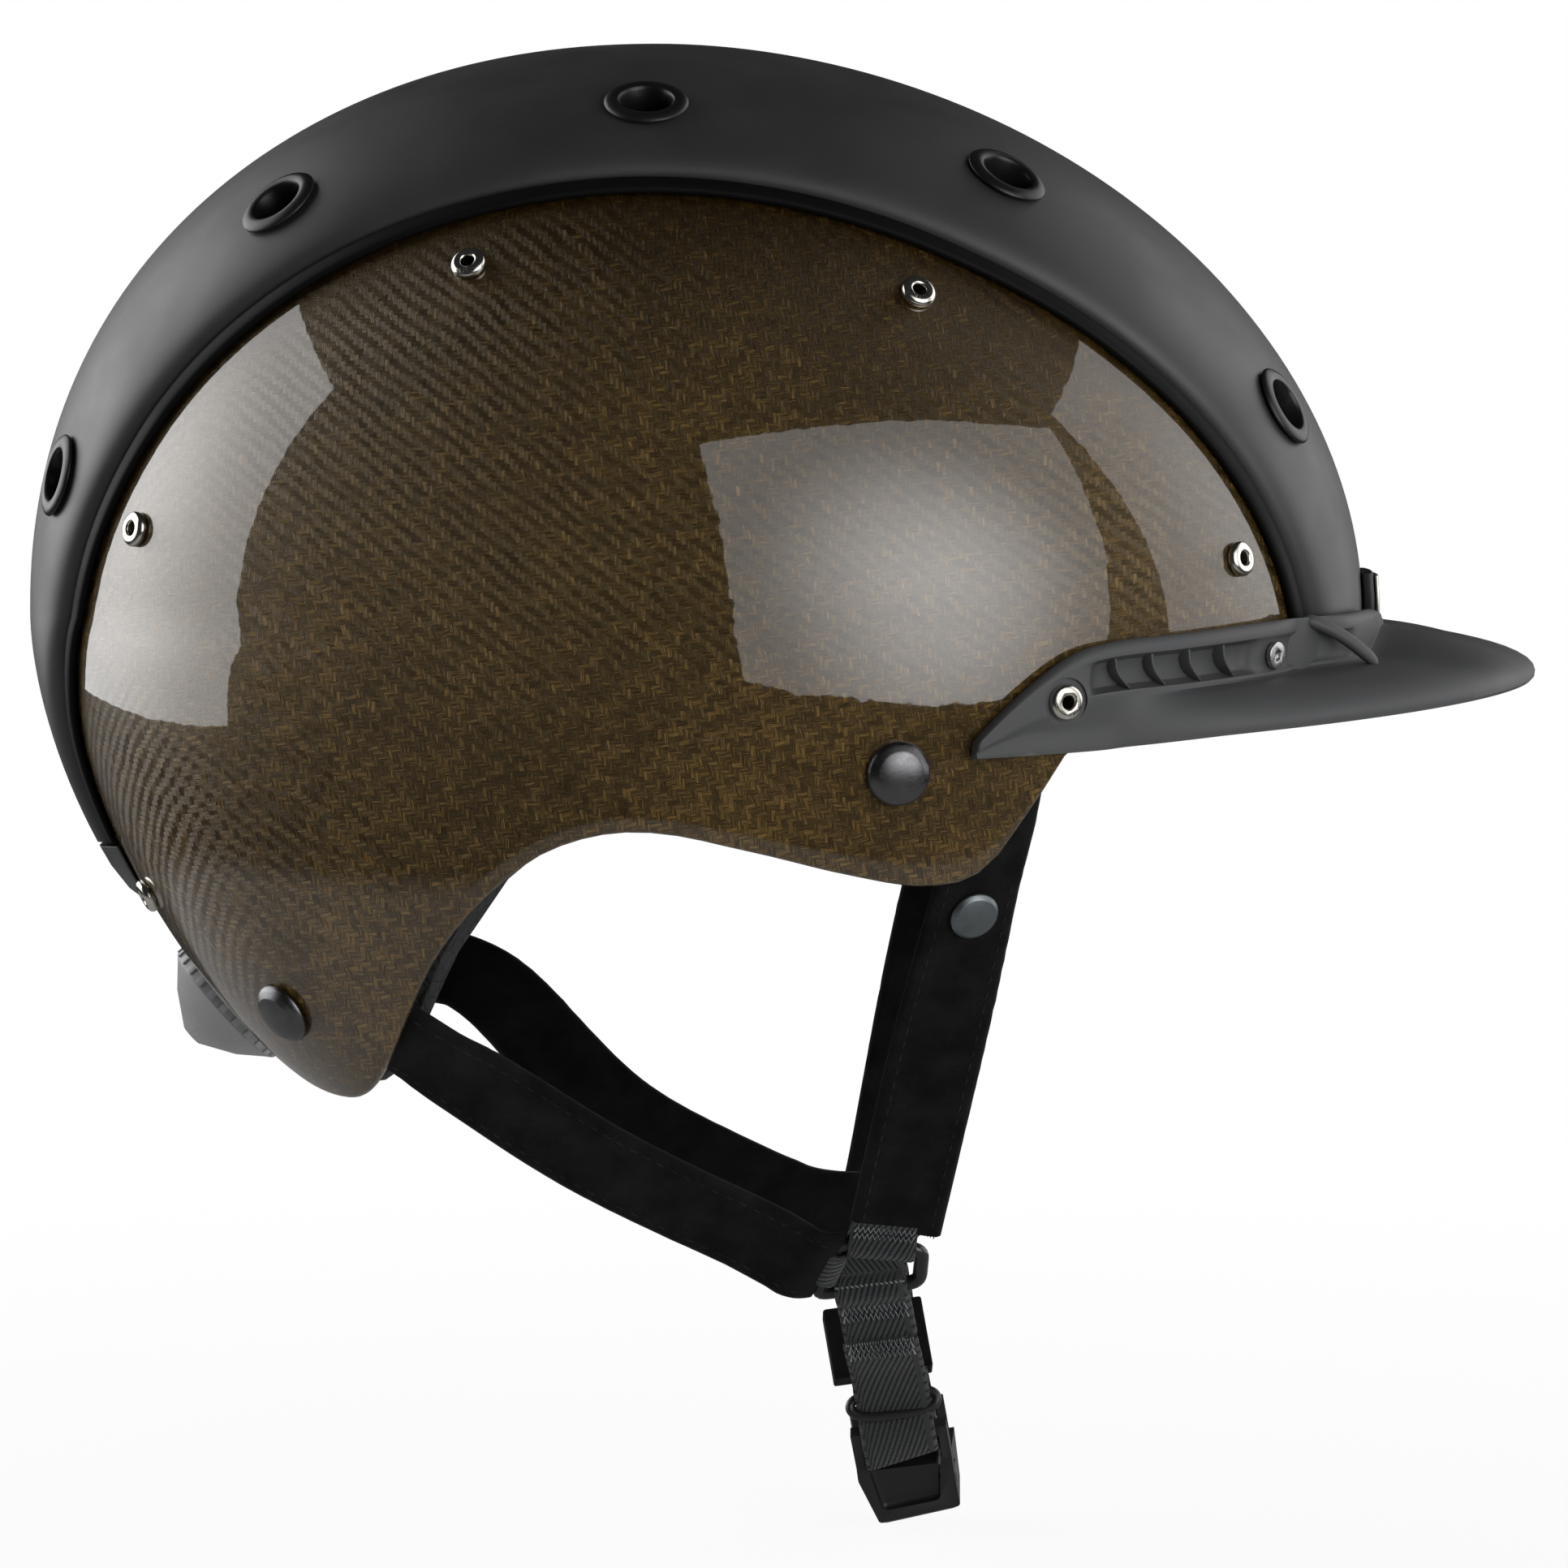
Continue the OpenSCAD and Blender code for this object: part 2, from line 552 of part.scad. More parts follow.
// Azimuths on the cradle where an arm starts, narrows to its rack and ends
arm_start = 91.5;
arm_split = 151;
arm_end = 192;
rack_teeth = 14;
arm_pin_d = 3;
arm_eye_d = 6.4;
house_y = 19.6;
house_z = rack_top + move_gap;
house_wall = 2;
house_x = [-fit_r - arm_t / 2 - 1.6, -fit_r + 5.8];
cover_t = 1.8;
cover_x = house_x[0] - 0.1;
shaft_d = 5;
stub_d = 3;
knob_x = cover_x - cover_t - move_gap;
knob_rim = 4.2;
knob_deep = knob_rim + 9;

module in_cradle() {
    translate(cradle_c) rotate([0, -fit_tilt, 0]) children();
}

// Left arm: strip round the cradle from its pivot eye to the nape, with a rack over the pinion
module fit_arm() {
    tooth_step = 360 * tooth_module / (2 * fit_r);
    tooth_in = 0.2;
    last_tooth = floor((arm_end - 180) / tooth_step) - 1;
    difference() {
        union() {
            rotate([0, 0, arm_start]) rotate_extrude(angle = arm_end - arm_start, $fn = 180)
                translate([fit_r - arm_t / 2, arm_low]) square([arm_t, arm_h]);
            translate([0, fit_r, arm_low]) cylinder(d = arm_eye_d, h = arm_h, $fn = 48);
        }
        translate([0, fit_r, arm_low - 1]) cylinder(d = arm_pin_d + 2 * pin_gap, h = arm_h + 2, $fn = 48);
        translate([-2 * fit_r, -fit_r, arm_low - 1])
            cube([2 * fit_r + fit_r * cos(arm_split), 2 * fit_r, rack_root - arm_low + 1]);
    }
    for (k = [last_tooth - rack_teeth + 1:last_tooth]) rotate([0, 0, 180 + (k + 0.5) * tooth_step])
        translate([fit_r - arm_t / 2 + tooth_in, 0, 0]) rotate([90, 0, 90]) linear_extrude(arm_t - 2 * tooth_in)
            polygon([[-0.64 * tooth_module, rack_root + 0.2], [-0.26 * tooth_module, rack_tip],
                [0.26 * tooth_module, rack_tip], [0.64 * tooth_module, rack_root + 0.2]]);
}

module fit_arm_left() {
    color([0.1, 0.1, 0.11]) in_cradle() fit_arm();
}

module fit_arm_right() {
    color([0.1, 0.1, 0.11]) in_cradle() rotate([180, 0, 0]) fit_arm();
}

// Bracket on the foam that holds an arm's pin between two lugs
lug_t = 2;
plate_y = [fit_r + arm_eye_d / 2 + move_gap, fit_r + arm_eye_d / 2 + move_gap + 1.4];

plate_w = 14;
lugs = [arm_low - move_gap - lug_t, rack_top + move_gap];

// Pocket in the foam for a bracket's plate
module bracket_seat() {
    translate([-plate_w / 2 - fit_gap, plate_y[0] - 1, lugs[0] - fit_gap])
        cube([plate_w + 2 * fit_gap, plate_y[1] - plate_y[0] + 1 + fit_gap, lugs[1] + lug_t - lugs[0] + 2 * fit_gap]);
}

module arm_bracket() {
    for (z = lugs) translate([0, 0, z]) difference() {
        union() {
            translate([0, fit_r, 0]) cylinder(d = arm_eye_d, h = lug_t, $fn = 48);
            translate([-arm_eye_d / 2, fit_r, 0]) cube([arm_eye_d, plate_y[1] - fit_r, lug_t]);
        }
        translate([0, fit_r, -1]) cylinder(d = arm_pin_d + 2 * pin_gap, h = lug_t + 2, $fn = 48);
    }
    translate([-plate_w / 2, plate_y[0], lugs[0]])
        cube([plate_w, plate_y[1] - plate_y[0], lugs[1] + lug_t - lugs[0]]);
}

module arm_brackets() {
    color([0.2, 0.2, 0.21]) in_cradle() {
        arm_bracket();
        rotate([180, 0, 0]) arm_bracket();
    }
}

module arm_pin() {
    translate([0, fit_r, lugs[0]]) cylinder(d = arm_pin_d, h = lugs[1] + lug_t - lugs[0], $fn = 48);
}

module arm_pins() {
    color("silver") in_cradle() {
        arm_pin();
        rotate([180, 0, 0]) arm_pin();
    }
}

module nape_housing() {
    d = house_x[1] - house_x[0];
    color([0.22, 0.22, 0.23]) in_cradle() difference() {
        translate([house_x[0], -house_y, -house_z - house_wall])
            cube([d, 2 * house_y, 2 * (house_z + house_wall)]);
        translate([house_x[0] - 1, -house_y - 1, -house_z]) cube([d - 1, 2 * house_y + 2, 2 * house_z]);
        translate([house_x[0], 0, 0]) rotate([0, 90, 0])
            cylinder(d = stub_d + 2 * pin_gap, h = d + 1, $fn = 48);
    }
}

module nape_cover() {
    color([0.16, 0.16, 0.17]) in_cradle() difference() {
        translate([cover_x - cover_t, -house_y, -house_z - house_wall])
            cube([cover_t, 2 * house_y, 2 * (house_z + house_wall)]);
        translate([cover_x - cover_t - 1, 0, 0]) rotate([0, 90, 0])
            cylinder(d = shaft_d + 2 * pin_gap, h = cover_t + 2, $fn = 48);
    }
}

module nape_pad() {
    function at(i, j, deep) = let (u = i / 5, v = j / 3)
        [house_x[1] + 0.3 + (deep ? pad_crown(u, v) : 0), u * (house_y - 1), -v * house_z];
    color([0.12, 0.12, 0.13]) in_cradle() slab([for (i = [-5:5]) [for (j = [-3:3]) at(i, j, true)]],
        [for (i = [-5:5]) [for (j = [-3:3]) at(i, j, false)]]);
}

// Pinion with its stub in the housing and its shaft through the cover into the knob
module fit_pinion() {
    step = 36;
    root = pinion_r - 1.25 * tooth_module;
    tip = pinion_r + tooth_module;
    gear_x = -fit_r - arm_t / 2 - 0.4;
    gear_t = arm_t + 0.8;
    color("silver") in_cradle() {
        translate([gear_x, 0, 0]) rotate([90, 0, 90]) linear_extrude(gear_t) polygon([for (k = [0:9])
            each [for (q = [[-13, root], [-8.5, pinion_r], [-2.6, tip], [2.6, tip], [8.5, pinion_r], [13, root]])
                q[1] * [cos(90 + k * step + q[0]), sin(90 + k * step + q[0])]]]);
        translate([gear_x + gear_t / 2, 0, 0]) rotate([0, 90, 0])
            cylinder(d = stub_d, h = house_x[1] - 0.2 - gear_x - gear_t / 2, $fn = 48);
        translate([knob_x - knob_deep / 2, 0, 0]) rotate([0, 90, 0])
            cylinder(d = shaft_d, h = gear_x - knob_x + knob_deep / 2 + 0.2, $fn = 48);
    }
}

module fit_knob() {
    r = knob_d / 2;
    color([0.62, 0.62, 0.63]) in_cradle() translate([knob_x, 0, 0]) rotate([0, -90, 0]) difference() {
        union() {
            rotate_extrude($fn = 72) polygon([[0, 0], [r - 0.8, 0], [r - 0.4, 0.5], [r - 0.4, knob_rim - 0.4],
                [r - 1.2, knob_rim + 0.3], [0.62 * r, knob_rim + 4.5], [0.16 * r, knob_deep - 0.2], [0, knob_deep]]);
            for (k = [0:23]) rotate([0, 0, 15 * k]) translate([r - 1.2, -0.8, 0.8])
                cube([1.2, 1.6, knob_rim - 1.5]);
        }
        translate([0, 0, -1]) cylinder(d = shaft_d + 2 * pin_gap, h = knob_deep / 2 + 1.1, $fn = 48);
    }
}

// Strap snaps through the shell

module snap_cap() {
    r = snap_d / 2;
    post = washer_in + 0.2;
    rotate_extrude($fn = 64) polygon([[0, -post], [snap_post_d / 2, -post], [snap_post_d / 2, 0.3], [r, 0.3],
        [r, 0.9], [r - 0.5, 1.7], [r - 1.8, 2.6], [r - 3.6, 3.1], [0, 3.3]]);
}

module snap_caps() {
    color([0.25, 0.25, 0.27]) both_sides() for (p = [front_snap_at, rear_snap_at]) on_skin(p[0], p[1], 0)
        snap_cap();
}

module snap_washers() {
    color([0.5, 0.5, 0.52]) both_sides() for (p = [front_snap_at, rear_snap_at]) on_skin(p[0], p[1], 0)
        translate([0, 0, -washer_in]) difference() {
            cylinder(d = 11, h = washer_t, $fn = 48);
            translate([0, 0, -1]) cylinder(d = snap_hole_d, h = washer_t + 2, $fn = 48);
        }
}

// Harness: all of it is drawn on the right and mirrored for the left

front_out = skin_n(-front_snap_at[0], front_snap_at[1]);
rear_out = skin_n(-rear_snap_at[0], rear_snap_at[1]);
front_hole = over_skin(-front_snap_at[0], front_snap_at[1], -strap_in);
rear_hole = over_skin(-rear_snap_at[0], rear_snap_at[1], -rear_strap_in);

// Junction ring: place, tilt, and corners in its own plane
ring_at = [34, -ring_y, -85];
ring_tilt = 35;
ring_a = [-5, 0, 5.5];
ring_b = [11.5, 0, 3.5];
ring_c = [11, 0, -5];
ring_d = [-9.8, 0, -8.3];
function in_ring(p) = ring_at + turn_x(ring_tilt, p);
ring_out = turn_x(ring_tilt, [0, -1, 0]);

module ring_frame() {
    translate(ring_at) rotate([ring_tilt, 0, 0]) children();
}

// Where each strap ends short of its loop, in the ring's plane
front_end = [6, 0, 9.4];
rear_end = [-15.4, 0, 3];

// Routes of the straps: under the shell over places on its surface, then free down to the ring
front_under = [[58.6, -8], [59, -13], [59.3, -19.5], [59.6, -26]];
rear_under = [[143.6, -34.4], rear_snap_at, [127, -39.9], [121, -41.3]];
front_free = [[47.2, -66, -41.6]];
rear_free = [[-43.8, -71, -44.7], [-17.2, -56.5, -63.2]];
// The left rear strap hangs in another bow
bow = [[0, -1.5, 3.5], [0, 0, -2.4]];
// Tab of the front strap that reaches back under the shell to its snap
tab_az = [57, 77];
tab_lat = [-9.5, -20];
tab_t = 1.8;

function route(under, inset, free, end, n_free) = concat(
    [for (i = [0:3]) [i, over_skin(-under[i][0], under[i][1], -inset)]],
    [for (i = [0:len(free) - 1]) [3 + (i + 1) * n_free, free[i]]],
    [[3 + (len(free) + 1) * n_free, in_ring(end)]]);
function route_out(under, last) = concat([for (i = [0:3]) [i, skin_n(-under[i][0], under[i][1])]],
    [[mix(3, last, 0.5), ring_out], [last, ring_out]]);
front_route = route(front_under, strap_in, front_free, front_end, 2.5);
rear_route = route(rear_under, rear_strap_in, rear_free, rear_end, 2);
rear_route_left = route(rear_under, rear_strap_in, rear_free + bow, rear_end, 2);
front_turn = route_out(front_under, 8);
rear_turn = route_out(rear_under, 9);

// Flat strap along a route, its face turned outwards as told, its width from w0 to w1
module strap(route, turn, w0, w1, steps) {
    last = route[len(route) - 1][0];
    function at(i) = curve(last * i / steps, route);
    loft([for (i = [0:steps]) let (
        way = unit(at(min(steps, i + 0.5)) - at(max(0, i - 0.5))),
        side = unit(cross(curve(last * i / steps, turn), way)) * mix(w0, w1, i / steps) / 2,
        face = unit(cross(way, side)) * strap_t / 2,
        p = at(i))
        [p + side - face, p + side + face, p - side + face, p - side - face]]);
}

stud_d = 10;
stud_post_d = 3;
stud_t = 3.35;
stud_at = curve(stud_t, front_route);
stud_way = unit(curve(stud_t + 0.2, front_route) - curve(stud_t - 0.2, front_route));
stud_out = unit(cross(stud_way, cross(curve(stud_t, front_turn), stud_way)));

module snap_tab() {
    function at(i, j, up) = over_skin(-mix(tab_az[1], tab_az[0], i / 4), mix(tab_lat[0], tab_lat[1], j / 3),
        up - strap_in);
    slab([for (i = [0:4]) [for (j = [0:3]) at(i, j, tab_t / 2)]],
        [for (i = [0:4]) [for (j = [0:3]) at(i, j, -tab_t / 2)]]);
}

module front_strap() {
    difference() {
        union() {
            strap(front_route, front_turn, strap_w, strap_w, 24);
            snap_tab();
        }
        facing(front_hole, front_out) translate([0, 0, -5]) cylinder(d = snap_post_d + 1, h = 10, $fn = 48);
        facing(stud_at, stud_out) translate([0, 0, -5]) cylinder(d = stud_post_d + 1, h = 10, $fn = 48);
    }
}

module rear_strap(route) {
    difference() {
        strap(route, rear_turn, strap_w, strap_w, 27);
        facing(rear_hole, rear_out) translate([0, 0, -5]) cylinder(d = snap_post_d + 1, h = 10, $fn = 48);
    }
}

// Riveted cap on the front strap: cap, post and back disc
module strap_stud() {
    r = stud_d / 2;
    face = strap_t / 2 + move_gap;
    facing(stud_at, stud_out) rotate_extrude($fn = 48) polygon([[0, -face - 1], [r - 1, -face - 1],
        [r - 1, -face], [stud_post_d / 2, -face], [stud_post_d / 2, face], [r, face], [r, face + 0.6],
        [r - 0.8, face + 1.4], [r - 2.4, face + 1.8], [0, face + 2]]);
}

// Ring of four rods that end inside balls at its corners
module junction_ring() {
    corners = [ring_a, ring_b, ring_c, ring_d];
    ring_frame() for (i = [0:3]) {
        p = corners[i];
        q = corners[(i + 1) % 4];
        short = ring_rod_d / 5 * unit(q - p);
        rod(p + short, q - short, ring_rod_d);
        translate(p) sphere(d = ring_rod_d + 0.8, $fn = 32);
    }
}

// Webbing loop round a bar of the ring at share t from p to q, reaching towards a strap's end
loop_t = 1.2;
loop_front_w = 12.4;
loop_rear_w = 7.4;

// Slope of a strap's end against a bar of the ring
function end_slope(route, bar) = let (last = route[len(route) - 1][0],
    along = abs(unit(curve(last, route) - curve(last - 0.5, route)) * turn_x(ring_tilt, bar)))
    along / sqrt(1 - along * along);

module ring_loop(p, q, t, w, end, route) {
    bar = unit(q - p);
    c = mix(p, q, t);
    reach = norm(cross(end - c, bar)) - move_gap - end_slope(route, bar) * (w / 2 + abs((end - c) * bar));
    r = ring_rod_d / 2 + pin_gap;
    side = sign(cross(bar, end - c).y);
    translate(c) rotate([0, -atan2(bar.z, bar.x), 0]) difference() {
        union() {
            translate([-w / 2, 0, 0]) rotate([0, 90, 0]) cylinder(r = r + loop_t, h = w, $fn = 48);
            translate([-w / 2, -loop_t, side < 0 ? 0 : -reach]) cube([w, 2 * loop_t, reach]);
        }
        translate([-w / 2 - 1, 0, 0]) rotate([0, 90, 0]) cylinder(r = r, h = w + 2, $fn = 48);
    }
}

module ring_loops() {
    ring_frame() {
        ring_loop(ring_a, ring_b, 0.5, loop_front_w, front_end, front_route);
        ring_loop(ring_a, ring_d, 0.43, loop_rear_w, rear_end, rear_route_left);
    }
}

// Chin strap halves: in their own frame X runs along the ring's bottom bar, +Z up
// the webbing and +Y towards the head

bar_mid = mix(ring_d, ring_c, 0.535);
bar_lean = atan2(ring_c.z - ring_d.z, ring_c.x - ring_d.x);
chin_turn = -5;
function chin_way(v) = turn_x(ring_tilt, turn_y(-bar_lean, turn_x(chin_turn, v)));

module chin_frame() {
    ring_frame() translate(bar_mid) rotate([0, -bar_lean, 0]) rotate([chin_turn, 0, 0]) children();
}

// Solid with an outline in the chin frame's Y-Z plane and a width along X
module chin_bar(w) {
    translate([-w / 2, 0, 0]) rotate([90, 0, 90]) linear_extrude(w) children();
}

fold_len = 14;
sleeve_t = 1.2;
bar_h = 2.4;
frame_t = 3;
bar_z = -webbing_len;
loop_half = frame_t / 2 + 0.3 + webbing_t;

module webbing_outline() {
    difference() {
        union() {
            circle(r = ring_rod_d / 2 + pin_gap + sleeve_t, $fn = 48);
            translate([-webbing_t, -fold_len]) square([2 * webbing_t, fold_len]);
            translate([-webbing_t / 2, bar_z + bar_h / 2]) square([webbing_t, webbing_len - bar_h / 2 - 4]);
            translate([-loop_half, bar_z - bar_h / 2 - 0.3 - webbing_t])
                square([2 * loop_half, bar_h + 0.6 + 2 * webbing_t]);
        }
        circle(r = ring_rod_d / 2 + pin_gap, $fn = 48);
        translate([-frame_t / 2 - 0.3, bar_z - bar_h / 2 - 0.3]) square([frame_t + 0.6, bar_h + 0.6]);
    }
}

module chin_webbing() {
    chin_frame() chin_bar(webbing_w) webbing_outline();
}

keeper_h = 6;
keeper_top = bar_z + bar_h / 2 + 0.3 + webbing_t + 0.6 + keeper_h;

module keeper_loop() {
    ix = webbing_w / 2 + move_gap;
    iy = webbing_t / 2 + move_gap;
    color([0.08, 0.08, 0.09]) chin_frame() translate([0, 0, keeper_top - keeper_h]) linear_extrude(keeper_h)
        difference() {
            union() {
                square([2 * ix, 2 * (iy + 1.5)], center = true);
                for (s = [-1, 1]) translate([s * ix, 0]) circle(r = iy + 1.5, $fn = 48);
            }
            square([2 * ix, 2 * iy], center = true);
        }
}

// Buckle: the two halves meet on the mid-plane at a round cone
face_gap = 0.4;
cone_r = 5;
cone_tip_r = 1.5;
cone_deep = 3.5;
cone_z = bar_z - 17.6;
cone_foot = in_ring(bar_mid) + chin_way([0, 0, cone_z]);
chin_in = chin_way([0, 1, 0]);
cone_at = cone_foot - chin_in * cone_foot.y / chin_in.y;

// Cone on the mid-plane with +Z away from the wearer's left
module at_cone() {
    translate(cone_at) rotate([90, 0, 0]) children();
}

module buckle_frame() {
    difference() {
        translate([-buckle_w / 2, -frame_t / 2, bar_z - 9]) cube([buckle_w, frame_t, 9 + bar_h / 2]);
        translate([-webbing_w / 2 - 0.5, -frame_t, bar_z - 6.6]) cube([webbing_w + 1, 2 * frame_t, 6.6 - bar_h / 2]);
    }
}

// Wedge between the webbing's plane and the face on the mid-plane, drawn in at the back's foot
buckle_foot = bar_z - 23;

module buckle_block() {
    back = -frame_t / 2 - 1;
    w = buckle_w / 2;
    intersection() {
        chin_frame() chin_bar(buckle_w) polygon([[back, bar_z - 9.2], [back, buckle_foot + 1.4],
            [back + 1.4, buckle_foot], [16, buckle_foot], [16, bar_z - 12.4], [4, bar_z - 7.6],
            [frame_t / 2, bar_z - 7.2], [-frame_t / 2, bar_z - 7.2]]);
        chin_frame() translate([0, 30, 0]) rotate([90, 0, 0]) linear_extrude(60) polygon([[-w, bar_z],
            [-w, bar_z - 10], [-w + 2.6, buckle_foot + 1.8], [-w + 4.2, buckle_foot], [w - 1.8, buckle_foot],
            [w, buckle_foot + 1.8], [w, bar_z]]);
        translate([cone_at.x - 30, -40 - face_gap / 2, cone_at.z - 30]) cube([60, 40, 60]);
    }
}

// Release button: a cap in a counterbore of the side, on a stem in a bore
button_bore_d = 3.2;
button_cap_d = 4.4;
button_cap_t = 1.4;
button_yz = [0.7, bar_z - 12.6];
button_in = 0.5;
button_travel = 2;
cap_foot = buckle_w / 2 + 0.2 - button_cap_t;

module at_button() {
    chin_frame() translate([0, button_yz[0], button_yz[1]]) rotate([0, 90, 0]) children();
}

module buckle_socket() {
    color([0.07, 0.07, 0.08]) difference() {
        union() {
            chin_frame() buckle_frame();
            buckle_block();
        }
        at_cone() translate([0, 0, face_gap / 2]) {
            translate([0, 0, -1]) cylinder(r = cone_r, h = 1, $fn = 64);
            cylinder(r1 = cone_r, r2 = cone_tip_r, h = cone_deep, $fn = 64);
            cylinder(r = cone_tip_r, h = cone_deep + 1.4, $fn = 64);
        }
        at_button() {
            translate([0, 0, button_in]) cylinder(d = button_bore_d, h = buckle_w, $fn = 48);
            translate([0, 0, cap_foot - button_travel - 0.2])
                cylinder(d = button_cap_d + 0.6, h = buckle_w, $fn = 48);
        }
    }
}

module socket_magnet() {
    color("silver") at_cone() translate([0, 0, face_gap / 2 + cone_deep + 0.2])
        cylinder(r = cone_tip_r - pin_gap, h = 1.15, $fn = 48);
}

module release_button() {
    stem_in = button_in + 2 * button_travel;
    color([0.15, 0.15, 0.16]) at_button() {
        translate([0, 0, stem_in]) cylinder(d = button_bore_d - 2 * pin_gap, h = cap_foot - stem_in + 0.2, $fn = 48);
        translate([0, 0, cap_foot]) cylinder(d = button_cap_d, h = button_cap_t, $fn = 48);
    }
}

module button_spring() {
    color("silver") at_button() translate([0, 0, button_in + button_travel + 0.1]) difference() {
        cylinder(d = button_bore_d - 0.4, h = button_travel - 0.2, $fn = 48);
        translate([0, 0, -1]) cylinder(d = button_bore_d - 1.2, h = button_travel + 2, $fn = 48);
    }
}

module chin_webbing_right() {
    color([0.1, 0.1, 0.1]) chin_webbing();
}

module chin_webbing_left() {
    color([0.1, 0.1, 0.1]) mirror([0, 1, 0]) chin_webbing();
}

// Suede sleeve round the left chin webbing, wider behind it than ahead
cover_w = 20.9;
cover_x0 = -12;

module chin_cover_left() {
    h = webbing_len - fold_len - 8;
    thick = webbing_t + 2 * (move_gap + 1.3);
    color([0.13, 0.12, 0.12]) mirror([0, 1, 0]) chin_frame() translate([0, 0, -fold_len - 0.4 - h])
        linear_extrude(h) difference() {
            translate([cover_x0, -thick / 2]) square([cover_w, thick]);
            square([webbing_w + 2 * move_gap, webbing_t + 2 * move_gap], center = true);
        }
}

module buckle_tongue() {
    color([0.14, 0.14, 0.15]) mirror([0, 1, 0]) difference() {
        union() {
            chin_frame() buckle_frame();
            buckle_block();
            at_cone() mirror([0, 0, 1]) translate([0, 0, -face_gap / 2 - 1])
                cylinder(r = cone_r - 0.5, h = 1 + face_gap, $fn = 64);
            at_cone() mirror([0, 0, 1]) translate([0, 0, face_gap / 2])
                cylinder(r1 = cone_r - 0.5, r2 = cone_tip_r - 0.1, h = cone_deep - 0.3, $fn = 64);
        }
        at_cone() mirror([0, 0, 1]) translate([0, 0, cone_deep - 1.5]) cylinder(r = 1, h = 4, $fn = 48);
    }
}

module tongue_magnet() {
    color("silver") mirror([0, 1, 0]) at_cone() mirror([0, 0, 1]) translate([0, 0, cone_deep - 1.3])
        cylinder(r = 1 - pin_gap, h = 1.2, $fn = 48);
}

suede = [0.13, 0.12, 0.12];

module front_strap_right() {
    color(suede) front_strap();
}

module front_strap_left() {
    color(suede) mirror([0, 1, 0]) front_strap();
}

module rear_strap_right() {
    color(suede) rear_strap(rear_route);
}

module rear_strap_left() {
    color(suede) mirror([0, 1, 0]) rear_strap(rear_route_left);
}

module strap_stud_right() {
    color([0.45, 0.45, 0.47]) strap_stud();
}

module strap_stud_left() {
    color([0.45, 0.45, 0.47]) mirror([0, 1, 0]) strap_stud();
}

module junction_ring_right() {
    color([0.2, 0.2, 0.22]) junction_ring();
}

module junction_ring_left() {
    color([0.2, 0.2, 0.22]) mirror([0, 1, 0]) junction_ring();
}

module ring_loops_right() {
    color([0.12, 0.12, 0.12]) ring_loops();
}

module ring_loops_left() {
    color([0.12, 0.12, 0.12]) mirror([0, 1, 0]) ring_loops();
}

outer_shell();
crown_band();
band_edge_trims();
band_tail_clip();
vent_eyelets();
shell_rivets();
peak();
peak_rivets();
peak_screws();
badge_holder();
badge_plate();
foam_crown();
foam_front();
foam_back();
foam_right();
foam_left();
brow_pad();
crown_pad();
top_pads();
side_pads();
snap_caps();
snap_washers();
arm_brackets();
arm_pins();
fit_arm_right();
fit_arm_left();
nape_housing();
nape_cover();
nape_pad();
fit_pinion();
fit_knob();
front_strap_right();
rear_strap_right();
strap_stud_right();
junction_ring_right();
ring_loops_right();
front_strap_left();
rear_strap_left();
strap_stud_left();
junction_ring_left();
ring_loops_left();
chin_webbing_right();
keeper_loop();
buckle_socket();
socket_magnet();
release_button();
button_spring();
chin_webbing_left();
chin_cover_left();
buckle_tongue();
tongue_magnet();
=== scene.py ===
# Riding helmet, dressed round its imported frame
from math import acos, asin, atan2, copysign, cos, degrees, pi, radians, sin

import bmesh
import bpy
from mathutils import Matrix, Vector, noise


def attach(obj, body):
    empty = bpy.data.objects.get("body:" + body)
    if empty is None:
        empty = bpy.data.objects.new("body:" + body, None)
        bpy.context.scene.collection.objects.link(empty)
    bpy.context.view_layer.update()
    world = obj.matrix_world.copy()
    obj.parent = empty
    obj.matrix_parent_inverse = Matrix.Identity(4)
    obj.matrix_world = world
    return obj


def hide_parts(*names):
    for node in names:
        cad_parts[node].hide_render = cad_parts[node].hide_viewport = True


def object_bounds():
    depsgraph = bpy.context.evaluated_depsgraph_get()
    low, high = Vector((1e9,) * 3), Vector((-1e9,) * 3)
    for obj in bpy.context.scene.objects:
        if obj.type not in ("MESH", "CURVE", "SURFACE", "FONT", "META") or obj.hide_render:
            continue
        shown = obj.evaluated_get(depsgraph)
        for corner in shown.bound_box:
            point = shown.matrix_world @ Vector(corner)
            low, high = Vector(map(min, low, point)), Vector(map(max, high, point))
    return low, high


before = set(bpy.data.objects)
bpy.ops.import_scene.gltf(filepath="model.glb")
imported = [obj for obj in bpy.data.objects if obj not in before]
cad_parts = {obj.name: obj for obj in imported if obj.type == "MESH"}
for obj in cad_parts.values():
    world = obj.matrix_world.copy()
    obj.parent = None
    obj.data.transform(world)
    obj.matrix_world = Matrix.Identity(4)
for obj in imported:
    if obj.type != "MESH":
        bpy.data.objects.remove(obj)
cadBox = [list(corner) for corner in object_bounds()]
mm = 0.001

# Camera, at the height and angle of the photograph
viewpoint = {"distance": 1.6, "elevation": 4, "target": (0.0177, 0, 0.009), "lens": 178.9, "sensor": 36}
tilt = radians(viewpoint["elevation"])
eye = Vector(viewpoint["target"]) + viewpoint["distance"] * Vector((0, -cos(tilt), sin(tilt)))
bpy.ops.object.camera_add(location=eye, rotation=(pi / 2 - tilt, 0, 0))
camera = bpy.context.object
camera.data.lens = viewpoint["lens"]
camera.data.sensor_width = viewpoint["sensor"]
camera.data.clip_end = 20
bpy.context.scene.camera = camera
bpy.context.scene.view_settings.view_transform = "Standard"
print("camera placed")


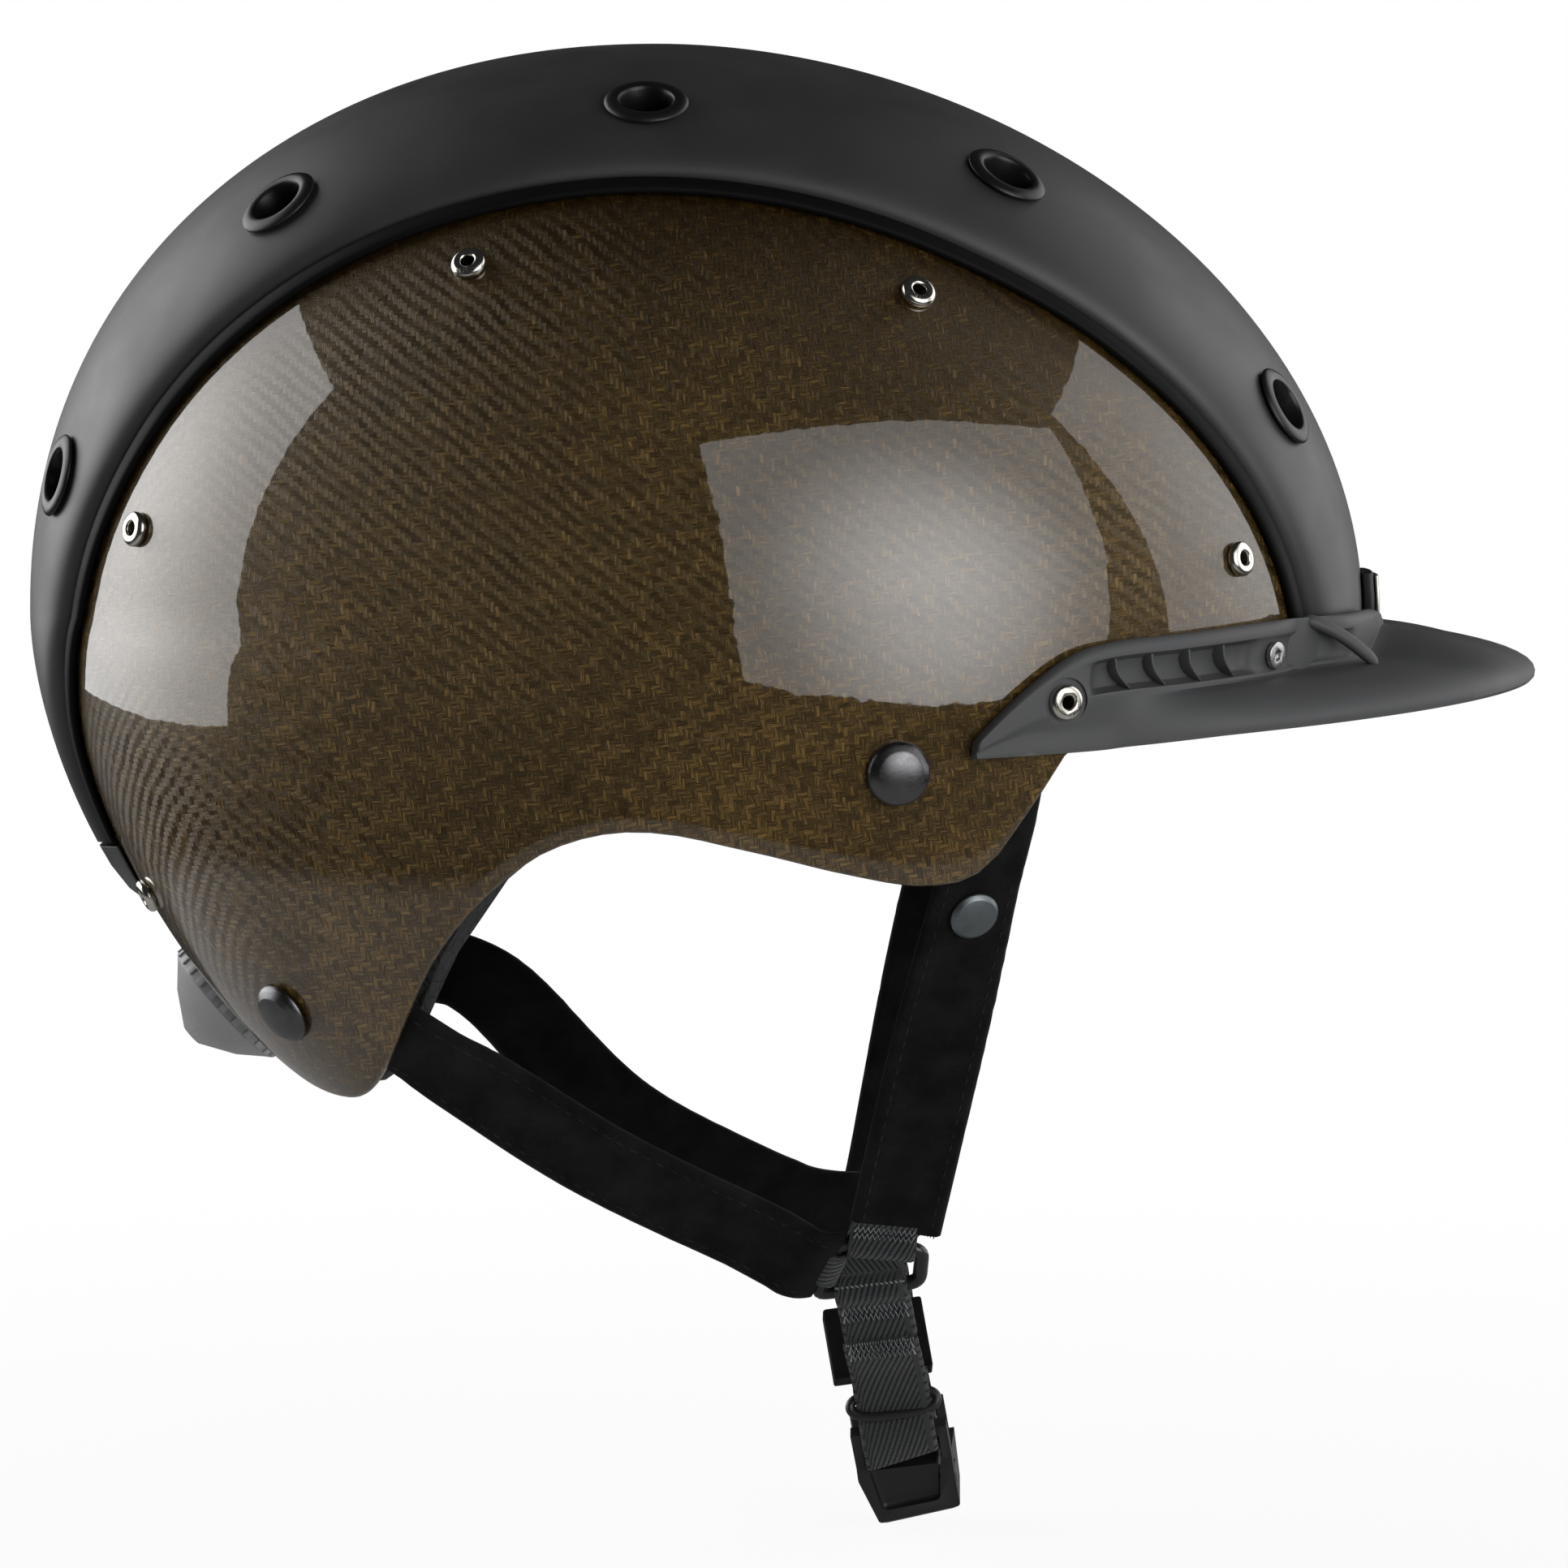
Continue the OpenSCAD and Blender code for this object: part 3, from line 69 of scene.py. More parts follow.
# Working on one piece at a time
def nothing():
    bpy.ops.object.select_all(action="DESELECT")


def only(piece):
    nothing()
    piece.select_set(True)
    bpy.context.view_layer.objects.active = piece


# Each step is an operator and its settings, done on the whole mesh
def edited(piece, *steps):
    only(piece)
    bpy.ops.object.mode_set(mode="EDIT")
    for operator, settings in steps:
        bpy.ops.mesh.select_all(action="SELECT")
        operator(**settings)
    bpy.ops.object.mode_set(mode="OBJECT")


facesOut = (bpy.ops.mesh.normals_make_consistent, {"inside": False})


def weld(piece, gap=0.00001):
    edited(piece, (bpy.ops.mesh.remove_doubles, {"threshold": gap}), facesOut)


def smooth(piece, angle):
    only(piece)
    bpy.ops.object.shade_smooth_by_angle(angle=radians(angle))


def withModifier(piece, kind, **settings):
    only(piece)
    modifier = piece.modifiers.new(kind.lower(), kind)
    for key, value in settings.items():
        setattr(modifier, key, value)
    bpy.ops.object.modifier_apply(modifier=modifier.name)


def rounded(piece, width, segments, angle):
    withModifier(piece, "BEVEL", width=width * mm, segments=segments, limit_method="ANGLE",
                 angle_limit=radians(angle))


def cutBy(piece, tool):
    withModifier(piece, "BOOLEAN", operation="DIFFERENCE", object=tool, solver="EXACT")
    bpy.data.objects.remove(tool)


def joined(name, pieces):
    nothing()
    for piece in pieces:
        piece.select_set(True)
    bpy.context.view_layer.objects.active = pieces[0]
    if len(pieces) > 1:
        bpy.ops.object.join()
    piece = bpy.context.object
    piece.name = name
    return piece


# A subdivided plane whose points are then put in place: place(u, v) gives a point in
# millimetres and, where a weave follows the surface, its way across and along
def sheetPiece(name, across, along, place, uvOf=None):
    nothing()
    bpy.ops.mesh.primitive_grid_add(x_subdivisions=across, y_subdivisions=along, size=1)
    piece = bpy.context.object
    piece.name = name
    mesh = piece.data
    spots = [(v.co.x + 0.5, v.co.y + 0.5) for v in mesh.vertices]
    for v, (a, b) in zip(mesh.vertices, spots):
        v.co = Vector(place(a, b)) * mm
    if uvOf:
        for loop, uv in zip(mesh.loops, mesh.uv_layers.active.data):
            uv.uv = uvOf(*spots[loop.vertex_index])
    return piece


# A closed tube of sections: u goes round each section and v from end to end
def tubePiece(name, around, along, place, uvOf=None, ends=True):
    piece = sheetPiece(name, around, along, place, uvOf)
    weld(piece)
    if ends:
        edited(piece, (bpy.ops.mesh.fill_holes, {"sides": 0}), facesOut)
    return piece


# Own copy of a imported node, merged, its flat faces made whole and its edges rounded
def softCopy(source, bevel=0.2, segments=2, angle=32, name=None):
    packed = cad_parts[source]
    piece = packed.copy()
    piece.data = packed.data.copy()
    bpy.context.scene.collection.objects.link(piece)
    for key in list(piece.keys()):
        del piece[key]
    piece.parent = None
    first, *rest = source.split("_")
    piece.name = name or first + "".join(word.title() for word in rest)
    piece.data.materials.clear()
    only(piece)
    bpy.ops.mesh.customdata_custom_splitnormals_clear()
    edited(piece, (bpy.ops.mesh.remove_doubles, {"threshold": 0.000004}),
           (bpy.ops.mesh.dissolve_limited, {"angle_limit": radians(1.2)}))
    if bevel:
        rounded(piece, bevel, segments, angle)
    smooth(piece, angle)
    return piece


def dress(piece, finish, body, *nodes, slot=None):
    piece.data.materials.clear()
    piece.data.materials.append(finishes[finish])
    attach(piece, body)
    if nodes:
        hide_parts(*nodes)


def copied(source, finish, bevel=0.2, segments=2, angle=32, body="helmet", slot=None, name=None):
    dress(softCopy(source, bevel, segments, angle, name), finish, body, source, slot=slot)


# Many copies of one small form, as one mesh
def scattered(name, form, places):
    mesh = bpy.data.meshes.new(name)
    work = bmesh.new()
    for place in places:
        first = len(work.verts)
        work.from_mesh(form.data)
        work.verts.ensure_lookup_table()
        bmesh.ops.transform(work, matrix=place, verts=work.verts[first:])
    work.to_mesh(mesh)
    work.free()
    piece = bpy.data.objects.new(name, mesh)
    bpy.context.scene.collection.objects.link(piece)
    smooth(piece, 60)
    return piece


def mix(a, b, t):
    return a + (b - a) * t


def ease(t):
    t = max(0, min(1, t))
    return t * t * (3 - 2 * t)


def signedPower(v, p):
    return copysign(abs(v) ** p, v)


# Smooth curve through pairs of a key and a number or point
def curveAt(x, keys):
    last = len(keys) - 1
    i = max(0, min(last - 1, sum(1 for key in keys if key[0] <= x) - 1))
    h = keys[i + 1][0] - keys[i][0]
    t = max(0, min(1, (x - keys[i][0]) / h))
    span = keys[i + 1][1] - keys[i][1]
    m0 = span if i == 0 else (keys[i + 1][1] - keys[i - 1][1]) * (h / (keys[i + 1][0] - keys[i - 1][0]))
    m1 = span if i == last - 1 else (keys[i + 2][1] - keys[i][1]) * (h / (keys[i + 2][0] - keys[i][0]))
    return ((2 * t ** 3 - 3 * t * t + 1) * keys[i][1] + (t ** 3 - 2 * t * t + t) * m0
            + (3 * t * t - 2 * t ** 3) * keys[i + 1][1] + (t ** 3 - t * t) * m1)


# Surface of the shell, in millimetres and degrees, as the frame has it
shell = {"halfWidth": 108, "front": 139, "back": 123.4, "rise": 110.4, "widest": 45, "wall": 3,
         "frontRound": 1.92, "backRound": 2.13, "backFall": 1.29, "frontFall": 0.9, "sideFall": 0.45,
         "skirtDepth": 135, "skirtPower": 0.85, "crownX": -8, "columns": 200, "rows": 56, "rimRound": 1.1,
         "rim": [(0, -11), (30, -11), (46, -11.2), (53, -12.6), (56.5, -18), (60.5, -23.8), (66, -25.2),
                 (74, -24), (83, -21.7), (91, -20), (98, -21.6), (104, -25.7), (110, -31.2), (117, -38.4),
                 (124, -43.6), (132, -46.6), (141, -47), (150, -45.4), (158, -41.5), (166, -36),
                 (173, -32.5), (180, -31)]}


def skin(az, lat, depth=0):
    a, b = radians(az), radians(lat)
    w = (1 + cos(a)) / 2
    reach = (shell["front"] if cos(a) >= 0 else shell["back"]) - depth
    if lat >= 0:
        power = 2
        n = mix(shell["backRound"], shell["frontRound"], w)
        rx = ry = max(0, cos(b)) ** (2 / n)
        z = shell["widest"] + (shell["rise"] - depth) * sin(b) ** (2 / n)
    else:
        power = 2 + (1 - w) * sin(-b)
        rx = cos(b) ** mix(shell["backFall"], shell["frontFall"], w)
        ry = cos(b) ** shell["sideFall"]
        z = shell["widest"] - shell["skirtDepth"] * sin(-b) ** (1 / shell["skirtPower"])
    return Vector((shell["crownX"] + reach * rx * signedPower(cos(a), 2 / power),
                   (shell["halfWidth"] - depth) * ry * signedPower(sin(a), 2 / power), z))


def skinNormal(az, lat):
    return (skin(az + 1, lat) - skin(az - 1, lat)).cross(skin(az, lat + 1) - skin(az, lat - 1)).normalized()


def overSkin(az, lat, up):
    return skin(az, lat) + up * skinNormal(az, lat)


def latOf(z):
    if z < shell["widest"]:
        return -degrees(asin(((shell["widest"] - z) / shell["skirtDepth"]) ** shell["skirtPower"]))
    return degrees(asin((z - shell["widest"]) / shell["rise"]))


# The same surface along arcs from side to side: phi from front to back, th from the middle outwards
def arcSkin(phi, th, depth):
    p, t = radians(phi), radians(th)
    return skin(degrees(atan2(sin(t), cos(p) * cos(t))), degrees(asin(sin(p) * cos(t))), depth)


# Materials: one function for each kind of finish, patterns in millimetres
# New nodes go into the node tree that was opened last
shading = {}


def openTree(owner, emptied=False):
    owner.use_nodes = True
    shading["tree"] = owner.node_tree
    if emptied:
        owner.node_tree.nodes.clear()


def newMaterial(name, colour, roughness, settings=()):
    material = bpy.data.materials.new(name)
    openTree(material)
    shader = material.node_tree.nodes["Principled BSDF"]
    for key, value in {"Base Color": (*colour, 1), "Roughness": roughness, **dict(settings)}.items():
        shader.inputs[key].default_value = value
    material.diffuse_color = (*colour, 1)
    return material, shader


# A new node with its inputs set or wired; out names the output wanted, or None for the node itself
def node(kind, inputs=(), out=0, **settings):
    made = shading["tree"].nodes.new("ShaderNode" + kind)
    for key, value in settings.items():
        setattr(made, key, value)
    for key, value in dict(inputs).items():
        if isinstance(value, bpy.types.NodeSocket):
            feed(made, key, value)
        else:
            made.inputs[key].default_value = value
    return made if out is None else made.outputs[out]


def feed(receiver, socket, value):
    shading["tree"].links.new(value, receiver.inputs[socket])


def maths(operation, a, b=0.0):
    return node("Math", {0: a, 1: b}, operation=operation)


def plus(a, b):
    return maths("ADD", a, b)


def times(a, b):
    return maths("MULTIPLY", a, b)


def blendColour(amount, a, b):
    a, b = [c if isinstance(c, bpy.types.NodeSocket) else (*c, 1) for c in (a, b)]
    return node("Mix", {"Factor": amount, 6: a, 7: b}, 2, data_type="RGBA")


def ramp(value, low, high, toLow=0.0, toHigh=1.0):
    return node("MapRange", {"Value": value, "From Min": low, "From Max": high,
                             "To Min": toLow, "To Max": toHigh})


def objectMm(scale=(1, 1, 1), turn=(0, 0, 0)):
    return node("Mapping", {"Vector": node("TexCoord", out="Object"), "Rotation": turn,
                            "Scale": [1000 * s for s in scale]})


def noiseAt(vector, scale, detail=3, rough=0.5):
    return node("TexNoise", {"Vector": vector, "Scale": scale, "Detail": detail, "Roughness": rough}, "Fac")


def cellsAt(vector, scale, feature="DISTANCE_TO_EDGE"):
    return node("TexVoronoi", {"Vector": vector, "Scale": scale}, "Distance", feature=feature)


def axesOf(vector):
    return node("SeparateXYZ", {0: vector}, None).outputs


def addBump(shader, height, distance, strength=1.0, socket="Normal"):
    feed(shader, socket, node("Bump", {"Height": height, "Distance": distance * mm, "Strength": strength}))


# Moulded plastic or rubber: fine grain, patches of sheen, and lighter edges that are partly rubbed wear and partly
# a painted highlight where edges catch the light
def plastic(name, colour, roughness, grain=0.35, bump=0.03, edgeWearAndHighlight=0.35, settings=()):
    material, shader = newMaterial(name, colour, roughness, settings)
    place = objectMm()
    fine, broad = noiseAt(place, 1 / grain, 2), noiseAt(place, 0.05, 3)
    edge = ramp(node("NewGeometry", out="Pointiness"), 0.52, 0.62)
    # painted highlight and wear: pointed edges are given a lighter colour
    tone = blendColour(times(edge, edgeWearAndHighlight), colour, [min(1, c * 1.9 + 0.02) for c in colour])
    shade = ramp(plus(fine, broad), 0.5, 1.5, 0.86, 1.12)
    feed(shader, "Base Color", node("VectorMath", {0: tone, "Scale": shade}, operation="SCALE"))
    feed(shader, "Roughness", ramp(broad, 0.3, 0.7, roughness - 0.06, roughness + 0.06))
    addBump(shader, fine, bump)
    return material


# Plated or bare metal: brushed streaks and small scratches
def metal(name, colour, roughness, streak=(1, 1, 6)):
    material, shader = newMaterial(name, colour, roughness, {"Metallic": 1.0})
    lines = noiseAt(objectMm(streak), 0.9, 4, 0.7)
    spots = noiseAt(objectMm(), 0.35, 3)
    thin = ramp(cellsAt(objectMm((1, 1, 0.2)), 1.4), 0.0, 0.03, 1, 0)
    mark = times(thin, ramp(spots, 0.55, 0.7))
    brushed = ramp(lines, 0.3, 0.7, roughness - 0.05, roughness + 0.1)
    feed(shader, "Roughness", plus(brushed, times(mark, 0.2)))
    feed(shader, "Base Color", blendColour(ramp(spots, 0.4, 0.8), colour, [c * 0.8 for c in colour]))
    addBump(shader, maths("SUBTRACT", lines, mark), 0.012)
    return material


# Brown natural-fibre cloth under clear gloss
weave = {"pitch": 0.95, "lean": 8, "dark": (0.009, 0.0048, 0.0009), "mid": (0.036, 0.0198, 0.0042),
         "gold": (0.19, 0.112, 0.03), "lacquer": 1.72, "sheen": (1, 0.72, 0.36, 1), "streak": (0.3, 6.5)}


# One face of the cloth: two-over-two twill of flat bundles, each streaked along its way, with painted shade across
# each bundle
def twillFace(u, v):
    i, j = maths("FLOOR", u), maths("FLOOR", v)
    both = plus(i, j)
    weft = maths("LESS_THAN", maths("FLOORED_MODULO", both, 4.0), 2.0)

    def bundle(stretch, acrossCell, shift):
        run = maths("FLOOR", maths("DIVIDE", plus(both, shift), 4.0))
        cell = node("CombineXYZ", {0: run, 1: acrossCell, 2: shift})
        own = node("TexWhiteNoise", {"Vector": cell}, "Value", noise_dimensions="3D")
        way = node("CombineXYZ", {0: times(u, stretch[0]), 1: times(v, stretch[1])})
        return own, noiseAt(way, 1.0, 3, 0.65)

    def chosen(warp, weftValue):
        return node("Mix", {"Factor": weft, "A": warp, "B": weftValue})

    weftOwn, weftStreak = bundle(weave["streak"], j, 0.0)
    warpOwn, warpStreak = bundle(weave["streak"][::-1], i, 2.0)
    tone, streak = chosen(warpOwn, weftOwn), chosen(warpStreak, weftStreak)
    # painted shade: each bundle is lighter along its crown and darker at its sides
    crown = maths("SINE", times(chosen(maths("FRACT", u), maths("FRACT", v)), pi))
    level = plus(times(tone, 0.26), ramp(streak, 0.32, 0.68, 0.0, 0.68))
    return times(level, plus(times(crown, 0.3), 0.76))


def wovenShell():
    material, shader = newMaterial("wovenFibre", weave["mid"], 0.3, {
        "Coat Weight": 1.0, "Coat Roughness": 0.025, "Coat IOR": weave["lacquer"], "Specular IOR Level": 0.5,
        "Specular Tint": weave["sheen"]})
    place = objectMm(turn=(0, radians(weave["lean"]), 0))
    x, y, z = axesOf(place)
    drift = times(noiseAt(place, 0.12, 2), 1.8)
    u, v, w = [plus(maths("DIVIDE", axis, weave["pitch"]), drift) for axis in (x, y, z)]
    nx, ny, nz = [maths("POWER", maths("ABSOLUTE", axis), 5.0)
                  for axis in axesOf(node("NewGeometry", out="Normal"))]
    side, end, top = twillFace(u, w), twillFace(v, w), twillFace(u, v)
    level = plus(plus(times(side, ny), times(end, nx)), times(top, nz))
    level = maths("DIVIDE", level, plus(plus(nx, ny), nz))
    cloud = ramp(noiseAt(place, 0.018, 4, 0.6), 0.3, 0.7, -0.09, 0.07)
    # painted shade and light: the cloth is darker towards the crown and lighter towards the rim
    level = plus(plus(level, cloud), ramp(z, 130, -20, -0.12, 0.08))
    tones = node("ValToRGB", {0: level}, None)
    tones.color_ramp.elements.new(0.5)
    for stop, position, tone in zip(tones.color_ramp.elements, (0.2, 0.5, 0.8), ("dark", "mid", "gold")):
        stop.position, stop.color = position, (*weave[tone], 1)
    feed(shader, "Base Color", tones.outputs[0])
    addBump(shader, level, 0.25, 0.6)
    addBump(shader, noiseAt(place, 0.16, 2), 0.10, 0.24, "Coat Normal")
    return material


# Black suede: short nap that catches light at its edges
def suedeNap(name, colour):
    material, shader = newMaterial(name, colour, 0.95, {
        "Sheen Weight": 0.16, "Sheen Roughness": 0.35, "Sheen Tint": (0.35, 0.36, 0.37, 1),
        "Specular IOR Level": 0.15})
    place = objectMm()
    nap = noiseAt(place, 2.6, 5, 0.75)
    raised = ramp(times(nap, noiseAt(place, 0.14, 3)), 0.16, 0.42)
    feed(shader, "Base Color", blendColour(raised, colour, [c * 2.6 + 0.003 for c in colour]))
    addBump(shader, nap, 0.16, 0.8)
    return material


# Woven strap: slanted ribs that follow the strap, with fine cross threads, in millimetres; its colour follows the
# ribs' height as painted light and shade
def twillWebbing(name, colour, rib=1.2, slant=0.5, thread=0.42):
    material, shader = newMaterial(name, colour, 0.7, {"Sheen Weight": 0.15, "Specular IOR Level": 0.35})
    u, v, _ = axesOf(node("TexCoord", out="UV"))
    phase = plus(u, times(v, slant))
    ridge = maths("ABSOLUTE", maths("SINE", times(phase, pi / rib)))
    height = plus(ridge, times(maths("SINE", times(v, 2 * pi / thread)), 0.12))
    fuzz = noiseAt(objectMm(), 3.0, 3)
    # painted light and shade: the ribs' ridges are lighter and the grooves between them darker
    tone = ramp(plus(height, times(fuzz, 0.5)), 0.55, 1.4)
    feed(shader, "Base Color", blendColour(tone, [c * 0.05 for c in colour], [c * 3.2 for c in colour]))
    addBump(shader, height, 0.4)
    return material


# Knitted lining of the pads
def knitLining(name, colour):
    material, shader = newMaterial(name, colour, 0.9, {"Sheen Weight": 0.3})
    place = objectMm()
    height = plus(cellsAt(place, 0.75, "F1"), times(noiseAt(place, 1.8, 3), 0.5))
    feed(shader, "Base Color", blendColour(ramp(height, 0.3, 1.1), [c * 2.2 for c in colour], colour))
    addBump(shader, height, 0.3, 0.7)
    return material


# Moulded bead foam
def beadFoam(name, colour):
    material, shader = newMaterial(name, colour, 0.75)
    place = objectMm()
    seam = ramp(cellsAt(place, 0.32), 0.0, 0.14)
    mottled = times(seam, noiseAt(place, 0.5, 2))
    feed(shader, "Base Color", blendColour(mottled, [c * 0.5 for c in colour], [c * 2.0 for c in colour]))
    addBump(shader, seam, 0.25, 0.6)
    return material


finishes = {
    "shell": wovenShell(),
    "band": plastic("softTouchGrey", (0.033, 0.033, 0.034), 0.48, 0.3, 0.02, 0.15),
    "trim": plastic("blackRubber", (0.002, 0.002, 0.002), 0.6, 0.4, 0.02, 0.0, {"Specular IOR Level": 0.15}),
    "clip": plastic("clipGrey", (0.035, 0.036, 0.038), 0.42),
    "eyelet": plastic("blackenedMetal", (0.009, 0.009, 0.01), 0.36, 0.5, 0.03, 0.5, {"Metallic": 0.3}),
    "nickel": metal("nickel", (0.78, 0.75, 0.68), 0.16),
    "peak": plastic("peakGrey", (0.058, 0.059, 0.061), 0.58, 0.28, 0.025, 0.5),
    "steel": metal("screwSteel", (0.5, 0.5, 0.49), 0.24),
    "badge": metal("brushedPlate", (0.72, 0.73, 0.66), 0.28, (1, 6, 1)),
    "foam": beadFoam("beadFoam", (0.016, 0.016, 0.017)),
    "lining": knitLining("knitLining", (0.012, 0.012, 0.0125)),
    "gunmetal": metal("gunmetal", (0.15, 0.15, 0.155), 0.3),
    "black_plastic": plastic("blackPlastic", (0.008, 0.008, 0.0085), 0.38),
    "dark_plastic": plastic("darkPlastic", (0.03, 0.031, 0.033), 0.45),
    "knob": plastic("knobGrey", (0.24, 0.24, 0.245), 0.42, 0.5, 0.03, 0.4),
    "suede": suedeNap("blackSuede", (0.0028, 0.0027, 0.0027)),
    "thread": suedeNap("blackThread", (0.007, 0.0072, 0.0075)),
    "stud": metal("greyStud", (0.2, 0.225, 0.235), 0.42),
    "ring": plastic("lacqueredRing", (0.01, 0.01, 0.011), 0.22, 0.5, 0.01, 0.9),
    "webbing": twillWebbing("blackWebbing", (0.013, 0.0145, 0.0155)),
    "seam": suedeNap("seamThread", (0.12, 0.127, 0.13)),
    # pale threads; on the strap's cut ends this paleness is a painted highlight
    "fringe": suedeNap("frayedThread", (0.12, 0.125, 0.125)),
    "buckle": plastic("buckleBlack", (0.006, 0.006, 0.0065), 0.46, 0.4, 0.02, 0.5),
}
print("materials made:", len(finishes))

# Places on the surface: azimuth and latitude, the same on both sides, and the radii of their holes
eyeletAt = [(19, 22), (40, 50), (91.5, 62), (143, 44.5), (162.5, 13)]
rivetAt = [(33.3, 7), (62.5, 36.3), (111.5, 39), (146.5, 8.7), (163, -28)]
peakRivetAt = (55.6, -8.1)
peakScrewAt = (30.3, -4.2)
snapAt = [(70.2, -14.7), (137.5, -37.8)]
holes = {"rivet": 1.8, "snap": 2.05, "eyelet": 6.2, "bandEyelet": 6.1}


def drill(az, lat, up, radius, depth, vertices=48):
    nothing()
    bpy.ops.mesh.primitive_cylinder_add(vertices=vertices, radius=radius * mm, depth=depth * mm,
                                        location=overSkin(az, lat, up) * mm,
                                        rotation=skinNormal(az, lat).to_track_quat("Z", "Y").to_euler())
    return bpy.context.object


def bored(piece, spots, radius, depth=60):
    tools = [drill(side * az, lat, 0, radius, depth) for az, lat in spots for side in (-1, 1)]
    cutBy(piece, joined("boreTool", tools))


# Outer shell: from the crown to the rim, walled inwards, its rim rounded and its holes bored
def outerShell():
    def place(u, v):
        az = 360 * u - 180
        return skin(az, mix(90, curveAt(abs(az), shell["rim"]), v))

    piece = sheetPiece("shell", shell["columns"], shell["rows"], place)
    weld(piece)
    withModifier(piece, "SOLIDIFY", thickness=shell["wall"] * mm, offset=-1)
    rounded(piece, shell["rimRound"], 3, 50)
    bored(piece, rivetAt + [peakRivetAt, peakScrewAt], holes["rivet"])
    bored(piece, snapAt, holes["snap"])
    bored(piece, eyeletAt, holes["eyelet"])
    smooth(piece, 35)
    dress(piece, "shell", "helmet", "outer_shell")


outerShell()
print("shell made")

# Raised band over the crown, with the black trims beside it
band = {"rise": 5, "wall": 2.6, "foot": 0.6, "trim": 2.12, "gap": 0.3, "start": -9, "end": 204, "half": 40,
        "rows": 150, "edge": [(-9, 22.5), (1.5, 25.4), (20, 31), (37.5, 35.8), (58, 39.5), (92, 40.6), (112, 40),
                              (137, 36.7), (160, 31), (175, 25.2), (187, 19.5), (196, 13.5), (205, 9)]}


# Its outer face is the first half of each section and its inner face the second
def crownBand():
    half = band["half"]

    def place(u, v):
        phi = mix(band["start"], band["end"], v)
        i = round(u * 2 * half) % (2 * half)
        q = 1 - 2 * i / half if i <= half else -1 + 2 * (i - half) / half
        q = signedPower(sin(pi / 2 * q), 0.8)
        up = mix(band["foot"], band["rise"] - (0 if i <= half else band["wall"]), (1 - abs(q) ** 14) ** 0.5)
        return arcSkin(phi, q * (curveAt(phi, band["edge"]) - band["trim"] - band["gap"]), -up)

    piece = tubePiece("band", 2 * half, band["rows"], place)
    bored(piece, eyeletAt, holes["bandEyelet"])
    smooth(piece, 35)
    dress(piece, "band", "helmet", "crown_band")


def bandTrims():
    sides = []
    for side in (-1, 1):
        def place(u, v, side=side):
            phi = mix(band["start"], band["end"], v)
            turn, half = 2 * pi * u, band["trim"] / 2
            th = curveAt(phi, band["edge"]) - half + 0.12 + (half + 0.05) * signedPower(cos(turn), 0.7)
            return arcSkin(phi, side * th, -1.15 - 0.95 * signedPower(sin(turn), 0.7))

        sides.append(tubePiece("trimSide", 16, band["rows"], place))
    piece = joined("bandTrims", sides)
    smooth(piece, 50)
    dress(piece, "trim", "helmet", "band_edge_trims")


crownBand()
bandTrims()
copied("band_tail_clip", "clip", 0.4, 3, slot="trim")
copied("vent_eyelets", "eyelet", 0.12, 2, 40)
copied("shell_rivets", "nickel", 0.18, 3, 25)
copied("snap_caps", "gunmetal", 0.25, 3, 18)
copied("snap_washers", "steel", 0.15)
print("band, trims, eyelets, rivets and caps made")

# Peak: collar, arms with their vent recess, brim with a rounded edge
peak = {"tipX": 171.8, "tipZ": 33, "brimT": 4.4, "armWall": 4, "fitGap": 0.5, "tail": 63.8, "brimEnd": 50,
        "brimX0": 60, "recess": (20, 53), "boss": (26.8, 33.8), "ribs": (37.6, 42, 46.3, 50.2), "deep": 3.0,
        "sink": 0.8, "sinkRadius": 4.8,
        "top": [(0, 43.6), (6.2, 43.6), (8.5, 45.6), (12, 46.3), (20, 46.1), (29, 45.5), (44, 43.7),
                (51, 42.6), (55, 40.3), (59.5, 33.5), (62.5, 27.2), (63.8, 24)],
        "low": [(0, 26), (20, 24.5), (35, 22.8), (50, 21.4), (63.8, 20.4)],
        "over": [(0.22, 1.1), (0.45, 1.6), (0.65, 1.6), (0.84, 1.3)],
        "under": [(0.1, 1.2), (0.35, 2.4), (0.75, 1.6)],
        "strut": [(25.5, 45.3, 3.6), (136.4, 42.8, 35.6)], "strutBow": (0.8, 0.8, 2.6)}


def onArm(az, z, out):
    return skin(az, latOf(z), -out)


def armOut(a):
    return peak["armWall"] + 5.4 * ease((27 - a) / 6)


def armIn(a):
    return peak["fitGap"] + (band["rise"] + 0.3) * ease((30 - a) / 5)


# Heights of the recess's upper and lower edge
def recessHigh(a):
    low, top, rise = curveAt(a, peak["low"]), curveAt(a, peak["top"]), ease((16 - a) / 10)
    return (mix(low, top, mix(0.86, 0.96, rise)),
            mix(low, top, mix(mix(0.55, 0.6, ease((30 - a) / 10)), 0.92, rise)))


def recessDip(a):
    if not peak["recess"][0] < a < peak["recess"][1]:
        return 0
    if a > peak["boss"][1] or abs(a - peak["boss"][0] + 0.35) < 0.3:
        return peak["deep"]
    return 0.8 if a > peak["boss"][0] else 1.3


brimMeet = onArm(peak["brimEnd"], curveAt(peak["brimEnd"], peak["low"]), peak["armWall"])
brimReach = peak["tipX"] - peak["brimX0"]
brimTurn = acos((brimMeet.x - peak["brimX0"]) / brimReach)
brimWide = brimMeet.y / sin(brimTurn)


def brimEdge(az):
    t = az / peak["brimEnd"] * brimTurn
    x = peak["brimX0"] + brimReach * cos(t)
    drop = 9.6 * (max(0, peak["tipX"] - x) / 100) ** 0.7
    return Vector((x, brimWide * sin(t), peak["tipZ"] - peak["brimT"] / 2 - drop))


